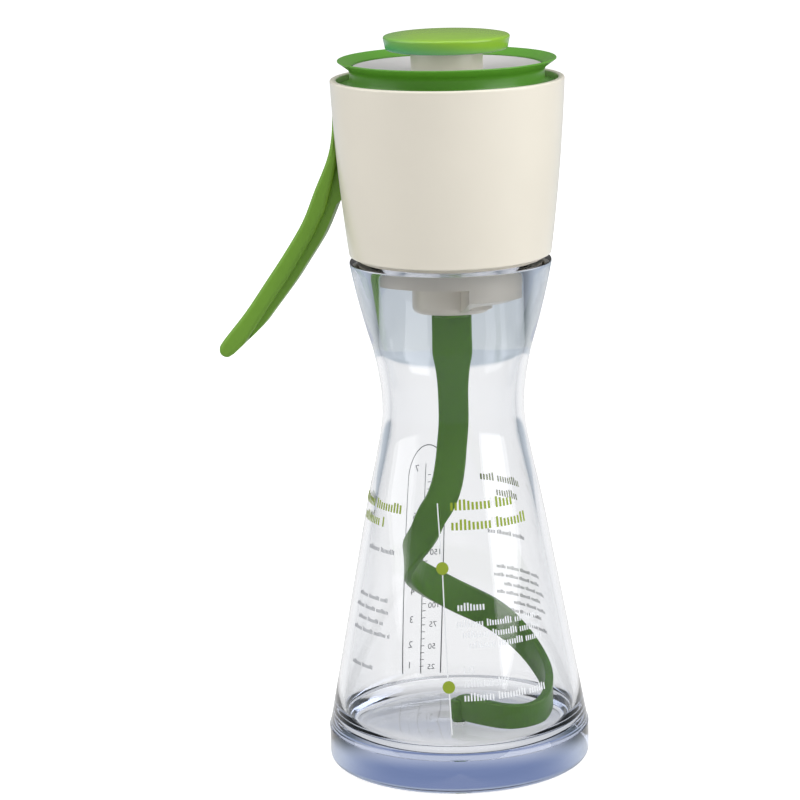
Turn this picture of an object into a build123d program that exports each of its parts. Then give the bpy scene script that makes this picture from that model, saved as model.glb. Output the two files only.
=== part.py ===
"""Hand-pumped dressing mixer bottle: a clear waisted bottle under a screw-on head.

Squeezing the lever pushes a rack, which turns a two-stage gear train and the
spiral paddle inside the bottle. A push-pull stopper closes the pouring basin on top.
The bottle stands on Z = 0 with its axis on Z. The lever is on the -X side.
"""

import math
import os

from build123d import *

os.makedirs("parts", exist_ok=True)


# Shared clearances
SLIP = 0.1  # gap round a piece that is pushed into place
RUNNING = 0.05  # radial gap of a turning or sliding fit
OVERRUN = 1.0  # how far a cutting tool runs past the face it opens
FUSE = 0.2  # how deep a thread or post sits in the wall that carries it


# Gears: a rack drives a small pinion, whose wheel drives the pinion on the shaft
gear_module = 0.6
pressure_angle = 25.0
backlash = 0.08
addendum_share = 0.8
dedendum_share = 1.05
pinion_teeth = 10
wheel_teeth = 40
flank_steps = 3
gear_distance = gear_module * (pinion_teeth + wheel_teeth) / 2
wheel_tip = gear_module * (wheel_teeth / 2 + addendum_share)
idler_y = 9.5
idler_x = -math.sqrt(gear_distance**2 - idler_y**2)

# Radii of the neck, the collar round it and the cover round the collar and the gears
neck_bore = 22.0
neck_wall = 2.7
neck_radius = neck_bore + neck_wall
thread_lead = 8.0
thread_starts = 2
thread_sweep = 170.0
thread_turn = 40.0
thread_depth = 1.25
thread_root_width = 2.0
thread_crest_width = 1.0
collar_gap = 0.35
collar_bore = neck_radius + thread_depth + collar_gap
collar_wall = 1.9
collar_thread_depth = 1.2
cover_wall = 2.0
cover_gap = 0.6
cover_gear_gap = 4.12
cover_flare = 1.8
cover_foot_radius = collar_bore + collar_wall + cover_gap + cover_wall
cover_middle_radius = gear_distance + wheel_tip + cover_gear_gap + cover_wall
cover_top_radius = cover_middle_radius + cover_flare

# Bottle, each height built on the one below it
wall = 2.8
base_radius = 40.7
base_band = 11.2
base_step = 0.25
base_edge = 2.4
floor_height = 10.2
floor_corner = 7.0
cone_radius = 27.65
cone_rise = 68.8
hip_radius = 24.2
hip_rise = 16.4
waist_radius = 21.9
waist_rise = 16.2
throat_radius = 24.1
throat_rise = 16.9
flare_radius = cover_foot_radius
flare_rise = 27.5
shoulder_rise = 0.9
shoulder_edge = 0.35
edge_share = 0.9
cone_height = base_band + cone_rise
hip_height = cone_height + hip_rise
waist_height = hip_height + waist_rise
throat_height = waist_height + throat_rise
flare_height = throat_height + flare_rise
shoulder_height = flare_height + shoulder_rise
neck_rise = 14.6
neck_root = 1.0
neck_top = shoulder_height + neck_rise
thread_rise = 6.1
thread_foot = shoulder_height + thread_rise
gasket_thickness = 1.0
gasket_lap = 0.8

# Threaded chassis that carries the gears
collar_lift = 0.7
collar_foot = shoulder_height + collar_lift
plate_foot = neck_top + gasket_thickness
plate_thickness = 3.0
plate_top = plate_foot + plate_thickness
plug_gap = 0.4
plug_radius = neck_bore - plug_gap
plug_wall = 1.8
plug_depth = 20.5
plug_foot = plate_foot - plug_depth
plug_floor = 2.0
boss_radius = 11.8
boss_height = 8.8
boss_foot = plug_foot - boss_height
boss_edge = 2.3
boss_recess = 5.8
seal_height = 2.0
boss_roof = plug_foot - seal_height
chute_half_angle = 68.0
chute_drop = 4.2

# Output shaft with its seal, bush and clip
shaft_radius = 2.5
journal_radius = 1.5
bush_height = 6.0
bush_wall = 2.0
seal_radius = shaft_radius + bush_wall
bearing_wall = 2.7
bearing_drop = 5.0
clip_thickness = 0.8
clip_gap = 0.2
clip_groove = 0.5
clip_width = 1.7
clip_mouth = 2.6

# Rack, gears and deck, stacked on the chassis plate
rack_lift = 0.5
rack_foot = plate_top + rack_lift
rack_thickness = 5.0
pinion_lift = 0.9
pinion_foot = plate_top + pinion_lift
wheel_gap = 1.2
wheel_foot = rack_foot + rack_thickness + wheel_gap
wheel_thickness = 3.0
wheel_hub_radius = 2.6
wheel_hub_rise = 2.4
wheel_hub_top = wheel_foot + wheel_thickness + wheel_hub_rise
output_drop = 0.7
output_height = 5.0
output_foot = wheel_foot - output_drop
output_top = output_foot + output_height
hub_headroom = 0.4
deck_foot = wheel_hub_top + hub_headroom
deck_thickness = 2.5
deck_top = deck_foot + deck_thickness
post_radius = 1.2
post_seat = 2.2
post_reach = 1.4
post_foot = plate_top - post_seat
post_top = deck_foot + post_reach
journal_top = deck_foot + post_reach

# Screws that hold the deck on the chassis
screw_inset = 3.8
screw_ring_radius = cover_foot_radius - screw_inset
screw_angles = [100.0, 220.0, 330.0]
screw_post_radius = 2.8
screw_radius = 1.3
screw_head_radius = 2.4
screw_head_height = 1.7
screw_length = 10.0
screw_slot_width = 0.7
screw_slot_depth = 0.8

# Pouring duct, a bent tube from the bottle's neck to the deck
duct_gap = 0.4
duct_wall = 1.2
duct_width = 5.8
duct_half_angle = 50.0
duct_outer = plug_radius - plug_wall - duct_gap - duct_wall
duct_inner = duct_outer - duct_width

# Lever and its pin
pin_inset = 3.3
pin_rise = 9.5
pin_x = pin_inset - cover_foot_radius
pin_z = deck_top + pin_rise
pin_radius = 1.5
pin_length = 15.0
lever_width = 13.0
lever_edge = 1.2
lever_drop = 75.4
lever_overhang = 43.0
rib_width = 7.6
eye_radius = 3.3
ear_eye_radius = 2.4
ear_clearance = 0.5
ear_gap = rib_width + 2 * ear_clearance
ear_thickness = 2.5
ear_depth = 3.5
ear_margin = 0.6
deck_notch_width = ear_gap + 2 * (ear_thickness + ear_margin)
notch_lap = 0.5
lever_notch = -pin_x - notch_lap
nose_seat = 3.5
nose_arm = pin_z - rack_foot - nose_seat
nose_radius = 2.6
nose_gap = 0.05
squeeze = 10.0

# Rack and its return spring
rack_back = 4.1
rack_tail = 8.5
rack_rail = 1.5
rack_rail_start = 20.0
rack_rail_length = 13.5
rack_body_end = 19.2
rack_teeth_ahead = 1
rack_teeth_behind = 3
rack_end_wall = 2.64
spring_slot_half = 2.6
spring_slot_end = 10.4
spring_radius = 1.9
spring_wire = 0.35
spring_turns = 8
spring_post_x = 12.5
spring_post_thickness = 1.5
spring_post_width = 4.6

# Spiral paddle, from its hub in the boss to its pivot in the floor
hub_gap = 0.4
hub_radius = boss_recess - hub_gap
hub_drop = 0.6
hub_height = 7.6
hub_top = boss_roof - hub_drop
hub_foot = hub_top - hub_height
shaft_seat = 3.2
shaft_foot = hub_foot + shaft_seat
pivot_radius = 2.1
pivot_hole_radius = pivot_radius + SLIP
pivot_hole_depth = 6.0
pivot_lift = 0.6
pivot_low = floor_height - pivot_hole_depth + pivot_lift
foot_step = 0.6
foot_radius = pivot_radius + foot_step
foot_lift = 0.7
foot_low = floor_height + foot_lift
ribbon_turn = 9.0
ribbon_reach = 28.2
ribbon_thickness = 2.7
ribbon_breadth = 9.0
ribbon_stations = 60
ribbon_lap = 0.6
ribbon_end_share = 0.989
foot_high = foot_low + ribbon_end_share * ribbon_breadth
ribbon_low = (foot_low + foot_high) / 2
ribbon_top = hub_foot + ribbon_lap

# Pouring chamber on the deck, the green ring over it and the cover round both
chamber_inset = 8.8
chamber_radius = cover_foot_radius - chamber_inset
chamber_wall = 1.8
chamber_depth = 16.5
chamber_top = deck_top + chamber_depth
ring_lift = 1.0
ring_foot = chamber_top + ring_lift
ring_floor = 1.8
ring_foot_gap = 0.8
ring_inner_foot = chamber_radius + chamber_wall + ring_foot_gap
ring_fit = 0.25
ring_flange_radius = cover_top_radius - cover_wall - ring_fit
ring_flange_height = 2.6
ring_flange_top = ring_foot + ring_flange_height
ring_width = 4.7
ring_gap = 0.15
dish_radius = ring_flange_radius - ring_width - ring_gap
ring_waist_wall = 1.0
ring_waist_radius = dish_radius + ring_gap + ring_waist_wall
ring_waist_rise = 4.8
ring_waist_top = ring_flange_top + ring_waist_rise
ring_waist_corner = 1.0
ring_lip_inset = 0.15
ring_lip_radius = ring_flange_radius - ring_lip_inset
ring_lip_rise = 2.9
ring_lip_height = ring_waist_top + ring_lip_rise
ring_lip_thickness = 0.8
ring_lip_edge = 0.3
cover_lift = 1.9
cover_middle_rise = 26.2
cover_rim_rise = 4.4
cover_foot = shoulder_height + cover_lift
cover_middle = cover_foot + cover_middle_rise
cover_top = ring_foot + cover_rim_rise
cover_foot_edge = 0.6
cover_rim_edge = 0.6
ledge_depth = 1.3
ledge_thickness = 2.0
slot_sill = 2.7
slot_step_rise = 4.5
slot_headroom = 4.6
slot_foot = cover_foot + slot_sill
slot_step = slot_foot + slot_step_rise
slot_top = pin_z + slot_headroom

# Pouring basin and its seal
dish_hole = 12.4
seat_radius = 19.6
dish_drop = 2.6
dish_depth = 3.7
dish_rim = ring_lip_height - dish_drop
dish_seat = dish_rim - dish_depth
dish_slope = dish_depth / (dish_radius - seat_radius)
dish_thickness = 1.8
skirt_gap = 0.2
skirt_radius = chamber_radius - skirt_gap
skirt_wall = 2.4
skirt_lift = 7.5
skirt_foot = deck_top + skirt_lift
rim_wall = 1.6
groove_depth = 1.2
groove_gap = 0.1
basin_groove = skirt_radius - groove_depth
basin_seal_wire = (chamber_radius - basin_groove) / 2
basin_seal_rise = 4.0
basin_seal_height = skirt_foot + basin_seal_rise

# Stopper, drawn raised, with its guided rod
stopper_lift = 8.65
stopper_seal_inner = 14.4
stopper_seal_outer = 16.6
stopper_seal_foot = dish_seat + stopper_lift
stopper_seal_show = 0.25
stopper_seal_seat = 1.6
cap_radius = 19.2
cap_foot_radius = 18.4
cap_foot = stopper_seal_foot + stopper_seal_show
cap_side = 4.1
cap_dome = 1.4
cap_rim = cap_foot + cap_side
cap_top = cap_rim + cap_dome
cap_edge = 0.3
stopper_seal_top = cap_foot + stopper_seal_seat
stem_radius = 10.9
stem_wall = 1.7
stem_clearance = 1.0
stem_seat = 1.2
stem_roof = 2.6
stem_foot = deck_top + stopper_lift + stem_clearance
stem_top = cap_foot + stem_seat
rod_radius = 3.0
rod_show = 0.6
rod_foot = stem_foot - rod_show
guide_bore = rod_radius + SLIP
guide_wall = 1.9
guide_lap = 5.8
guide_top = rod_foot + guide_lap
guide_groove_depth = 0.8
guide_groove = rod_radius - guide_groove_depth
guide_ring_wire = (guide_bore - guide_groove) / 2
guide_ring_rise = 2.4
guide_ring_height = rod_foot + guide_ring_rise


# The lever's outlines: shares of its overhang outward and of its drop down from the pin
lever_outer_shares = [
    (0.1767, -0.0477),
    (0.186, 0.0663),
    (0.2209, 0.1631),
    (0.3047, 0.2865),
    (0.3953, 0.4111),
    (0.5186, 0.5358),
    (0.6558, 0.6605),
    (0.8047, 0.7865),
    (0.9721, 0.9138),
]

lever_tip_shares = [
    (1.0, 0.9629),
    (0.9326, 0.9947),
]

lever_inner_shares = [
    (0.8581, 0.9708),
    (0.7767, 0.9191),
    (0.693, 0.8488),
    (0.6302, 0.7838),
    (0.5535, 0.7202),
    (0.4721, 0.6578),
    (0.407, 0.5955),
    (0.3419, 0.5332),
    (0.2837, 0.4708),
    (0.2395, 0.4085),
    (0.2, 0.3422),
]

lever_neck_shares = [
    (0.1349, 0.1459),
    (0.1023, -0.0424),
]

rib_shares = [
    (0.7651, 0.9164),
    (0.6465, 0.8462),
    (0.5721, 0.7825),
    (0.493, 0.7202),
    (0.4116, 0.6578),
    (0.3465, 0.5955),
    (0.2814, 0.5332),
    (0.2233, 0.4708),
    (0.1791, 0.4085),
    (0.1419, 0.3448),
]

brace_shares = [
    (0.2535, 0.3316),
    (0.4302, 0.5332),
    (0.6163, 0.6897),
]

# The web round the pin: shares of the nose's arm, outward and down from the pin
web_shares = [
    (0.1805, 1.1268),
    (0.0878, 1.122),
    (-0.0293, 0.9512),
    (-0.0293, 0.2927),
    (-0.1268, 0.0976),
    (0.0, -0.1561),
    (0.3171, -0.1561),
    (0.3561, 0.5366),
]

# The paddle's middle line: turn, share of its reach, share of its height, the way its
# face looks, and share of its breadth
ribbon_shares = [
    (270, 0.0, 1.0, 270, 1.333),
    (270, 0.0, 0.9539, 270, 1.333),
    (270, 0.0, 0.9071, 270, 1.333),
    (270, 0.0, 0.8563, 270, 1.178),
    (270, 0.0, 0.8016, 270, 1.044),
    (270, 0.0301, 0.7235, 270, 1.022),
    (250.7, 0.0745, 0.6611, 270, 1.022),
    (249.6, 0.1312, 0.6189, 270, 1.033),
    (246.4, 0.2128, 0.5744, 270, 1.044),
    (237.8, 0.2943, 0.533, 270, 1.044),
    (228, 0.3865, 0.4994, 267, 1.033),
    (219, 0.4645, 0.4557, 243, 1.0),
    (199.4, 0.5071, 0.4018, 208, 1.0),
    (175.8, 0.5035, 0.3534, 173, 1.0),
    (133.7, 0.5461, 0.3011, 145, 1.067),
    (93, 0.6809, 0.2394, 115, 1.111),
    (60.8, 0.8865, 0.1784, 80, 1.089),
    (37.3, 0.9645, 0.1222, 46, 1.022),
    (12.8, 0.9965, 0.0699, 18, 1.0),
    (-4.2, 1.0, 0.0301, -8, 1.0),
    (-19.8, 0.9645, 0.0074, -35, 1.0),
    (-32, 0.8652, 0.0, -71, 0.989),
    (-41.8, 0.6667, 0.0, -109, 0.989),
    (-46, 0.3936, 0.0, -130, 0.989),
    (-47, 0.1312, 0.0, -136, 0.989),
    (-47, 0.0426, 0.0, -136, 0.989),
]


def cover_reach(height):
    """Outer radius of the cover at a height, on the curve through its three radii."""
    heights = [cover_foot, cover_middle, cover_top]
    radii = [cover_foot_radius, cover_middle_radius, cover_top_radius]
    reach = 0
    for i, radius in enumerate(radii):
        share = radius
        for j, other in enumerate(heights):
            if j != i:
                share *= (height - other) / (heights[i] - other)
        reach += share
    return reach


def gear_outline(teeth, first_tooth):
    """Corner points of an involute gear, with a tooth centred on first_tooth, in degrees."""
    pitch_radius = gear_module * teeth / 2
    alpha = math.radians(pressure_angle)
    base = pitch_radius * math.cos(alpha)
    tip = pitch_radius + addendum_share * gear_module
    root = pitch_radius - dedendum_share * gear_module
    half_tooth = (math.pi * gear_module / 2 - backlash) / (2 * pitch_radius)
    lowest = max(base, root)
    radii = [lowest + (tip - lowest) * i / flank_steps for i in range(flank_steps + 1)]
    flank = []
    for radius in radii:
        beta = math.acos(min(1.0, base / radius))
        width = half_tooth + (math.tan(alpha) - alpha) - (math.tan(beta) - beta)
        flank.append((radius, width))
    if root < base:
        flank.insert(0, (root, flank[0][1]))
    points = []
    for tooth in range(teeth):
        middle = math.radians(first_tooth) + 2 * math.pi * tooth / teeth
        for radius, width in flank:
            points.append((radius * math.cos(middle - width), radius * math.sin(middle - width)))
        for radius, width in reversed(flank):
            points.append((radius * math.cos(middle + width), radius * math.sin(middle + width)))
    return points


def gear_blank(teeth, first_tooth, centre, foot, height):
    """A spur gear without a bore."""
    with BuildPart() as blank:
        with BuildSketch(Plane.XY.offset(foot)):
            with Locations(centre):
                Polygon(*gear_outline(teeth, first_tooth), align=None)
        extrude(amount=height)
    return blank.part


def helical_thread(root_radius, crest_radius, foot, start_angle):
    """One thread start: a trapezoid swept up a right-handed helix."""
    outward = 1 if crest_radius > root_radius else -1
    rise = thread_lead * thread_sweep / 360
    path = Helix(thread_lead, rise, root_radius, center=(0, 0, foot))
    path = path.rotate(Axis.Z, start_angle)
    angle = math.radians(start_angle)
    radial = Vector(math.cos(angle), math.sin(angle), 0)
    origin = radial * root_radius + Vector(0, 0, foot)
    plane = Plane(origin=origin, x_dir=radial * outward, z_dir=path % 0)
    depth = abs(crest_radius - root_radius)
    with BuildPart() as thread:
        with BuildSketch(plane):
            with BuildLine():
                Polyline(
                    (-FUSE, -thread_root_width / 2),
                    (0, -thread_root_width / 2),
                    (depth, -thread_crest_width / 2),
                    (depth, thread_crest_width / 2),
                    (0, thread_root_width / 2),
                    (-FUSE, thread_root_width / 2),
                    close=True,
                )
            make_face()
        sweep(path=path, is_frenet=True)
    return thread.part


def threads(root_radius, crest_radius, foot):
    """All the starts of one thread."""
    starts = [thread_turn + 360 / thread_starts * i for i in range(thread_starts)]
    return [helical_thread(root_radius, crest_radius, foot, start) for start in starts]


def lathe_corner(sketch, radius, height):
    """The corner of a lathe sketch that lies nearest to a radius and height."""
    return sketch.vertices().sort_by_distance((radius, height, 0))[0]


def tube(inner, outer, foot, top):
    """A straight ring on the bottle's axis."""
    with BuildPart() as ring:
        with BuildSketch(Plane.XY.offset(foot)):
            Circle(outer)
            if inner > 0:
                Circle(inner, mode=Mode.SUBTRACT)
        extrude(amount=top - foot)
    return ring.part


def ring_seal(inner_reach, outer_reach, height):
    """A round-section seal between a groove's floor and the wall outside it."""
    with BuildPart() as seal:
        with BuildSketch(Plane.XZ):
            with Locations(((inner_reach + outer_reach) / 2, height)):
                Circle((outer_reach - inner_reach) / 2)
        revolve(axis=Axis.Z)
    return seal.part


def duct_outline(growth):
    """The bent slot of the pouring duct, widened all round by a growth."""
    middle = (duct_inner + duct_outer) / 2
    half = (duct_outer - duct_inner) / 2 + growth
    arc = CenterArc((0, 0), middle, -duct_half_angle, 2 * duct_half_angle)
    return SlotArc(arc, 2 * half, mode=Mode.PRIVATE)


# Bottle: a lathe-turned shell with a thick foot, a waist and a threaded neck
with BuildPart() as bottle:
    with BuildSketch(Plane.XZ) as bottle_profile:
        with BuildLine():
            Polyline(
                (0, 0),
                (base_radius, 0),
                (base_radius, base_band - base_step),
                (base_radius - base_step, base_band),
                (cone_radius, cone_height),
            )
            Spline(
                (cone_radius, cone_height),
                (hip_radius, hip_height),
                (waist_radius, waist_height),
                (throat_radius, throat_height),
                tangents=[
                    (cone_radius - base_radius + base_step, cone_height - base_band),
                    (flare_radius - throat_radius, flare_height - throat_height),
                ],
            )
            Polyline(
                (throat_radius, throat_height),
                (flare_radius, flare_height),
                (flare_radius, shoulder_height),
                (neck_radius, shoulder_height),
                (neck_radius, neck_top),
                (neck_bore, neck_top),
                (neck_bore, shoulder_height - wall),
                (flare_radius - wall, shoulder_height - wall),
                (throat_radius - wall, throat_height),
            )
            Spline(
                (throat_radius - wall, throat_height),
                (waist_radius - wall, waist_height),
                (hip_radius - wall, hip_height),
                (cone_radius - wall, cone_height),
                tangents=[
                    (throat_radius - flare_radius, throat_height - flare_height),
                    (base_radius - base_step - cone_radius, base_band - cone_height),
                ],
            )
            Polyline(
                (cone_radius - wall, cone_height),
                (base_radius - base_step - wall, floor_height),
                (pivot_hole_radius, floor_height),
                (pivot_hole_radius, floor_height - pivot_hole_depth),
                (0, floor_height - pivot_hole_depth),
                (0, 0),
            )
        make_face()
        fillet(lathe_corner(bottle_profile, base_radius, 0), base_edge)
        edge = min(shoulder_edge, edge_share * shoulder_rise)
        fillet(lathe_corner(bottle_profile, flare_radius, shoulder_height), edge)
        fillet(lathe_corner(bottle_profile, neck_radius, shoulder_height), neck_root)
        fillet(lathe_corner(bottle_profile, neck_bore, shoulder_height - wall), neck_root)
        fillet(
            lathe_corner(bottle_profile, flare_radius - wall, shoulder_height - wall), neck_root
        )
        fillet(
            lathe_corner(bottle_profile, base_radius - base_step - wall, floor_height),
            floor_corner,
        )
    revolve(axis=Axis.Z)
    add(threads(neck_radius, neck_radius + thread_depth, thread_foot))
bottle.part.label = "bottle"

# Cover: a tapered shell that hides the gears, with a slot for the lever
with BuildPart() as cover:
    with BuildSketch(Plane.XZ) as cover_profile:
        with BuildLine():
            ThreePointArc(
                (cover_foot_radius, cover_foot),
                (cover_middle_radius, cover_middle),
                (cover_top_radius, cover_top),
            )
            Line((cover_top_radius, cover_top), (cover_top_radius - cover_wall, cover_top))
            ThreePointArc(
                (cover_top_radius - cover_wall, cover_top),
                (cover_middle_radius - cover_wall, cover_middle),
                (cover_foot_radius - cover_wall, cover_foot),
            )
            Line((cover_foot_radius - cover_wall, cover_foot), (cover_foot_radius, cover_foot))
        make_face()
        fillet(lathe_corner(cover_profile, cover_foot_radius, cover_foot), cover_foot_edge)
        fillet(lathe_corner(cover_profile, cover_top_radius, cover_top), cover_rim_edge)
        fillet(
            lathe_corner(cover_profile, cover_top_radius - cover_wall, cover_top), cover_rim_edge
        )
    revolve(axis=Axis.Z)
    for ledge_top in (deck_foot, ring_foot):
        with BuildSketch(Plane.XZ):
            inside = cover_reach(ledge_top) - cover_wall
            with Locations((inside - ledge_depth, ledge_top)):
                Rectangle(
                    ledge_depth + cover_wall / 2,
                    ledge_thickness,
                    align=(Align.MIN, Align.MAX),
                )
        revolve(axis=Axis.Z)
    with BuildSketch(Plane.YZ.offset(-cover_foot_radius)):
        with BuildLine():
            half = lever_width / 2 + 4 * SLIP
            Polyline((-half, slot_step), (-half, slot_top), (half, slot_top), (half, slot_step))
            narrow = rib_width / 2 + 6 * SLIP
            Polyline(
                (half, slot_step),
                (narrow, slot_step),
                (narrow, slot_foot),
                (-narrow, slot_foot),
                (-narrow, slot_step),
                (-half, slot_step),
            )
        make_face()
    extrude(amount=cover_top_radius / 3, both=True, mode=Mode.SUBTRACT)
cover.part.label = "cover"


# Chute under the plug: a part cone with the duct's opening through it
with BuildPart() as chute:
    start = math.radians(-chute_half_angle)
    outward = (math.cos(start), math.sin(start), 0)
    across = (math.sin(start), -math.cos(start), 0)
    with BuildSketch(Plane(origin=(0, 0, 0), x_dir=outward, z_dir=across)):
        with BuildLine():
            Polyline(
                (boss_recess + FUSE, boss_foot + FUSE),
                (boss_radius - boss_edge, boss_foot + FUSE),
                (plug_radius - FUSE, plug_foot - chute_drop),
                (plug_radius - FUSE, plug_foot + FUSE),
                (boss_recess + FUSE, plug_foot + FUSE),
                close=True,
            )
        make_face()
    revolve(axis=Axis.Z, revolution_arc=2 * chute_half_angle)
    with BuildSketch(Plane.XY.offset(boss_foot - OVERRUN)):
        add(duct_outline(0))
    extrude(amount=plug_foot - boss_foot + 2 * OVERRUN, mode=Mode.SUBTRACT)


# Chassis: neck plug, plate, thread collar, lever ears and posts in one moulding
bush_top = plug_foot + bush_height
housing_radius = seal_radius + plug_wall
half_pitch = thread_lead / thread_starts / 2
with BuildPart() as chassis:
    add(tube(collar_bore, collar_bore + collar_wall, collar_foot, plate_foot + FUSE))
    add(threads(collar_bore, collar_bore - collar_thread_depth, thread_foot - half_pitch))
    add(tube(0, cover_reach(plate_foot) - cover_wall - SLIP, plate_foot, plate_top))
    add(tube(plug_radius - plug_wall, plug_radius, plug_foot, plate_foot + FUSE))
    add(tube(0, plug_radius, plug_foot, plug_foot + plug_floor))
    with BuildSketch(Plane.XZ) as boss_profile:
        with Locations((0, boss_foot)):
            Rectangle(boss_radius, plug_foot - boss_foot + FUSE, align=Align.MIN)
        fillet(lathe_corner(boss_profile, boss_radius, boss_foot), boss_edge)
    revolve(axis=Axis.Z)
    add(chute.part)
    add(tube(0, housing_radius, plug_foot, bush_top))
    add(tube(0, shaft_radius + bearing_wall, plate_foot - bearing_drop, plate_foot + FUSE))
    with BuildSketch(Plane.XY.offset(plate_top - FUSE)):
        for angle in screw_angles:
            with PolarLocations(screw_ring_radius, 1, start_angle=angle):
                Circle(screw_post_radius)
    extrude(amount=deck_foot - plate_top + FUSE)
    with BuildSketch(Plane.XY.offset(plate_top - FUSE)):
        with Locations((-spring_post_x, 0)):
            Rectangle(spring_post_thickness, spring_post_width, align=(Align.MIN, Align.CENTER))
        with Locations((-rack_rail_start, -rack_back - SLIP)):
            Rectangle(rack_rail_length, rack_rail, align=(Align.MIN, Align.MAX))
    extrude(amount=rack_foot + rack_thickness - plate_top)
    with BuildSketch(Plane.XY.offset(plate_top - FUSE)):
        with Locations((idler_x, idler_y)):
            Circle(post_radius + SLIP + spring_post_thickness / 2)
    extrude(amount=pinion_foot - plate_top)
    for side in (-1, 1):
        with BuildSketch(Plane.XZ.offset(side * (ear_gap + ear_thickness) / 2)):
            with Locations((pin_x, pin_z)):
                Circle(ear_eye_radius)
            with Locations((pin_x - ear_eye_radius, plate_foot)):
                Rectangle(ear_eye_radius + ear_depth, pin_z - plate_foot, align=Align.MIN)
        extrude(amount=ear_thickness / 2, both=True)
    with BuildSketch(Plane.XY.offset(plate_foot - OVERRUN)):
        with Locations((-lever_notch, 0)):
            Rectangle(cover_foot_radius, ear_gap, align=(Align.MAX, Align.CENTER))
    extrude(amount=plate_thickness + 2 * OVERRUN, mode=Mode.SUBTRACT)
    with BuildSketch(Plane.XZ):
        with Locations((pin_x, pin_z)):
            Circle(pin_radius)
    extrude(amount=pin_length, both=True, mode=Mode.SUBTRACT)
    with BuildSketch(Plane.XY.offset(deck_foot - screw_length)):
        for angle in screw_angles:
            with PolarLocations(screw_ring_radius, 1, start_angle=angle):
                Circle(screw_radius)
    extrude(amount=screw_length, mode=Mode.SUBTRACT)
    with BuildSketch(Plane.XY.offset(post_foot - SLIP)):
        with Locations((idler_x, idler_y)):
            Circle(post_radius)
    extrude(amount=pinion_foot - post_foot, mode=Mode.SUBTRACT)
    add(tube(0, boss_recess, boss_foot - OVERRUN, boss_roof), mode=Mode.SUBTRACT)
    add(tube(0, seal_radius, boss_roof - FUSE, bush_top + OVERRUN), mode=Mode.SUBTRACT)
    add(tube(0, shaft_radius + RUNNING, bush_top, plate_top + OVERRUN), mode=Mode.SUBTRACT)
    with BuildSketch(Plane.XY.offset(plug_foot)):
        add(duct_outline(duct_wall))
    extrude(amount=plate_top - plug_foot + OVERRUN, mode=Mode.SUBTRACT)
chassis.part.label = "chassis"


# Pouring duct: carries the dressing past the gears, from the neck to the deck
with BuildPart() as pour_duct:
    with BuildSketch(Plane.XY.offset(plug_foot)):
        add(duct_outline(duct_wall))
        add(duct_outline(0), mode=Mode.SUBTRACT)
    extrude(amount=deck_top - plug_foot)
pour_duct.part.label = "pour_duct"


# Deck: the floor of the pouring chamber, with the cup and the stopper's guide tube
deck_radius = cover_reach(deck_foot) - cover_wall - 3 * SLIP
with BuildPart() as deck:
    add(tube(0, deck_radius, deck_foot, deck_top))
    add(tube(chamber_radius, chamber_radius + chamber_wall, deck_top - FUSE, chamber_top))
    add(tube(guide_bore, guide_bore + guide_wall, deck_top - FUSE, guide_top))
    with BuildSketch(Plane.XY.offset(deck_foot - OVERRUN)):
        with Locations((-chamber_radius - chamber_wall - SLIP, 0)):
            Rectangle(cover_foot_radius, deck_notch_width, align=(Align.MAX, Align.CENTER))
        add(duct_outline(duct_wall))
        for angle in screw_angles:
            with PolarLocations(screw_ring_radius, 1, start_angle=angle):
                Circle(screw_radius + SLIP)
    extrude(amount=deck_thickness + 2 * OVERRUN, mode=Mode.SUBTRACT)
    add(tube(0, journal_radius + RUNNING, deck_foot - OVERRUN, journal_top + SLIP), mode=Mode.SUBTRACT)
    with BuildSketch(Plane.XY.offset(deck_foot - OVERRUN)):
        with Locations((idler_x, idler_y)):
            Circle(post_radius)
    extrude(amount=post_top + SLIP - deck_foot + OVERRUN, mode=Mode.SUBTRACT)
deck.part.label = "deck"


# Deck screws: three alike, with a driving slot
with BuildPart() as housing_screws:
    with BuildSketch(Plane.XY.offset(deck_top)):
        for angle in screw_angles:
            with PolarLocations(screw_ring_radius, 1, start_angle=angle):
                Circle(screw_head_radius)
    extrude(amount=screw_head_height)
    with BuildSketch(Plane.XY.offset(deck_foot - screw_length + SLIP)):
        for angle in screw_angles:
            with PolarLocations(screw_ring_radius, 1, start_angle=angle):
                Circle(screw_radius)
    extrude(amount=screw_length + deck_thickness)
    with BuildSketch(Plane.XY.offset(deck_top + screw_head_height - screw_slot_depth)):
        for angle in screw_angles:
            with PolarLocations(screw_ring_radius, 1, start_angle=angle):
                Rectangle(3 * screw_head_radius, screw_slot_width)
    extrude(amount=2 * screw_slot_depth, mode=Mode.SUBTRACT)
housing_screws.part.label = "housing_screws"


# Shaft seal, bush and clip
shaft_seal = tube(shaft_radius, seal_radius - RUNNING, boss_roof + SLIP, plug_foot)
shaft_seal.label = "shaft_seal"
shaft_bush = tube(shaft_radius + RUNNING, seal_radius, plug_foot, bush_top)
shaft_bush.label = "shaft_bush"
clip_foot = bush_top + clip_gap
with BuildPart() as shaft_clip:
    with BuildSketch(Plane.XY.offset(clip_foot)):
        Circle(shaft_radius + clip_width)
        Circle(shaft_radius - clip_groove + RUNNING, mode=Mode.SUBTRACT)
        Rectangle(
            2 * (shaft_radius + clip_width),
            clip_mouth,
            align=(Align.MIN, Align.CENTER),
            mode=Mode.SUBTRACT,
        )
    extrude(amount=clip_thickness)
shaft_clip.part.label = "shaft_clip"


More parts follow.
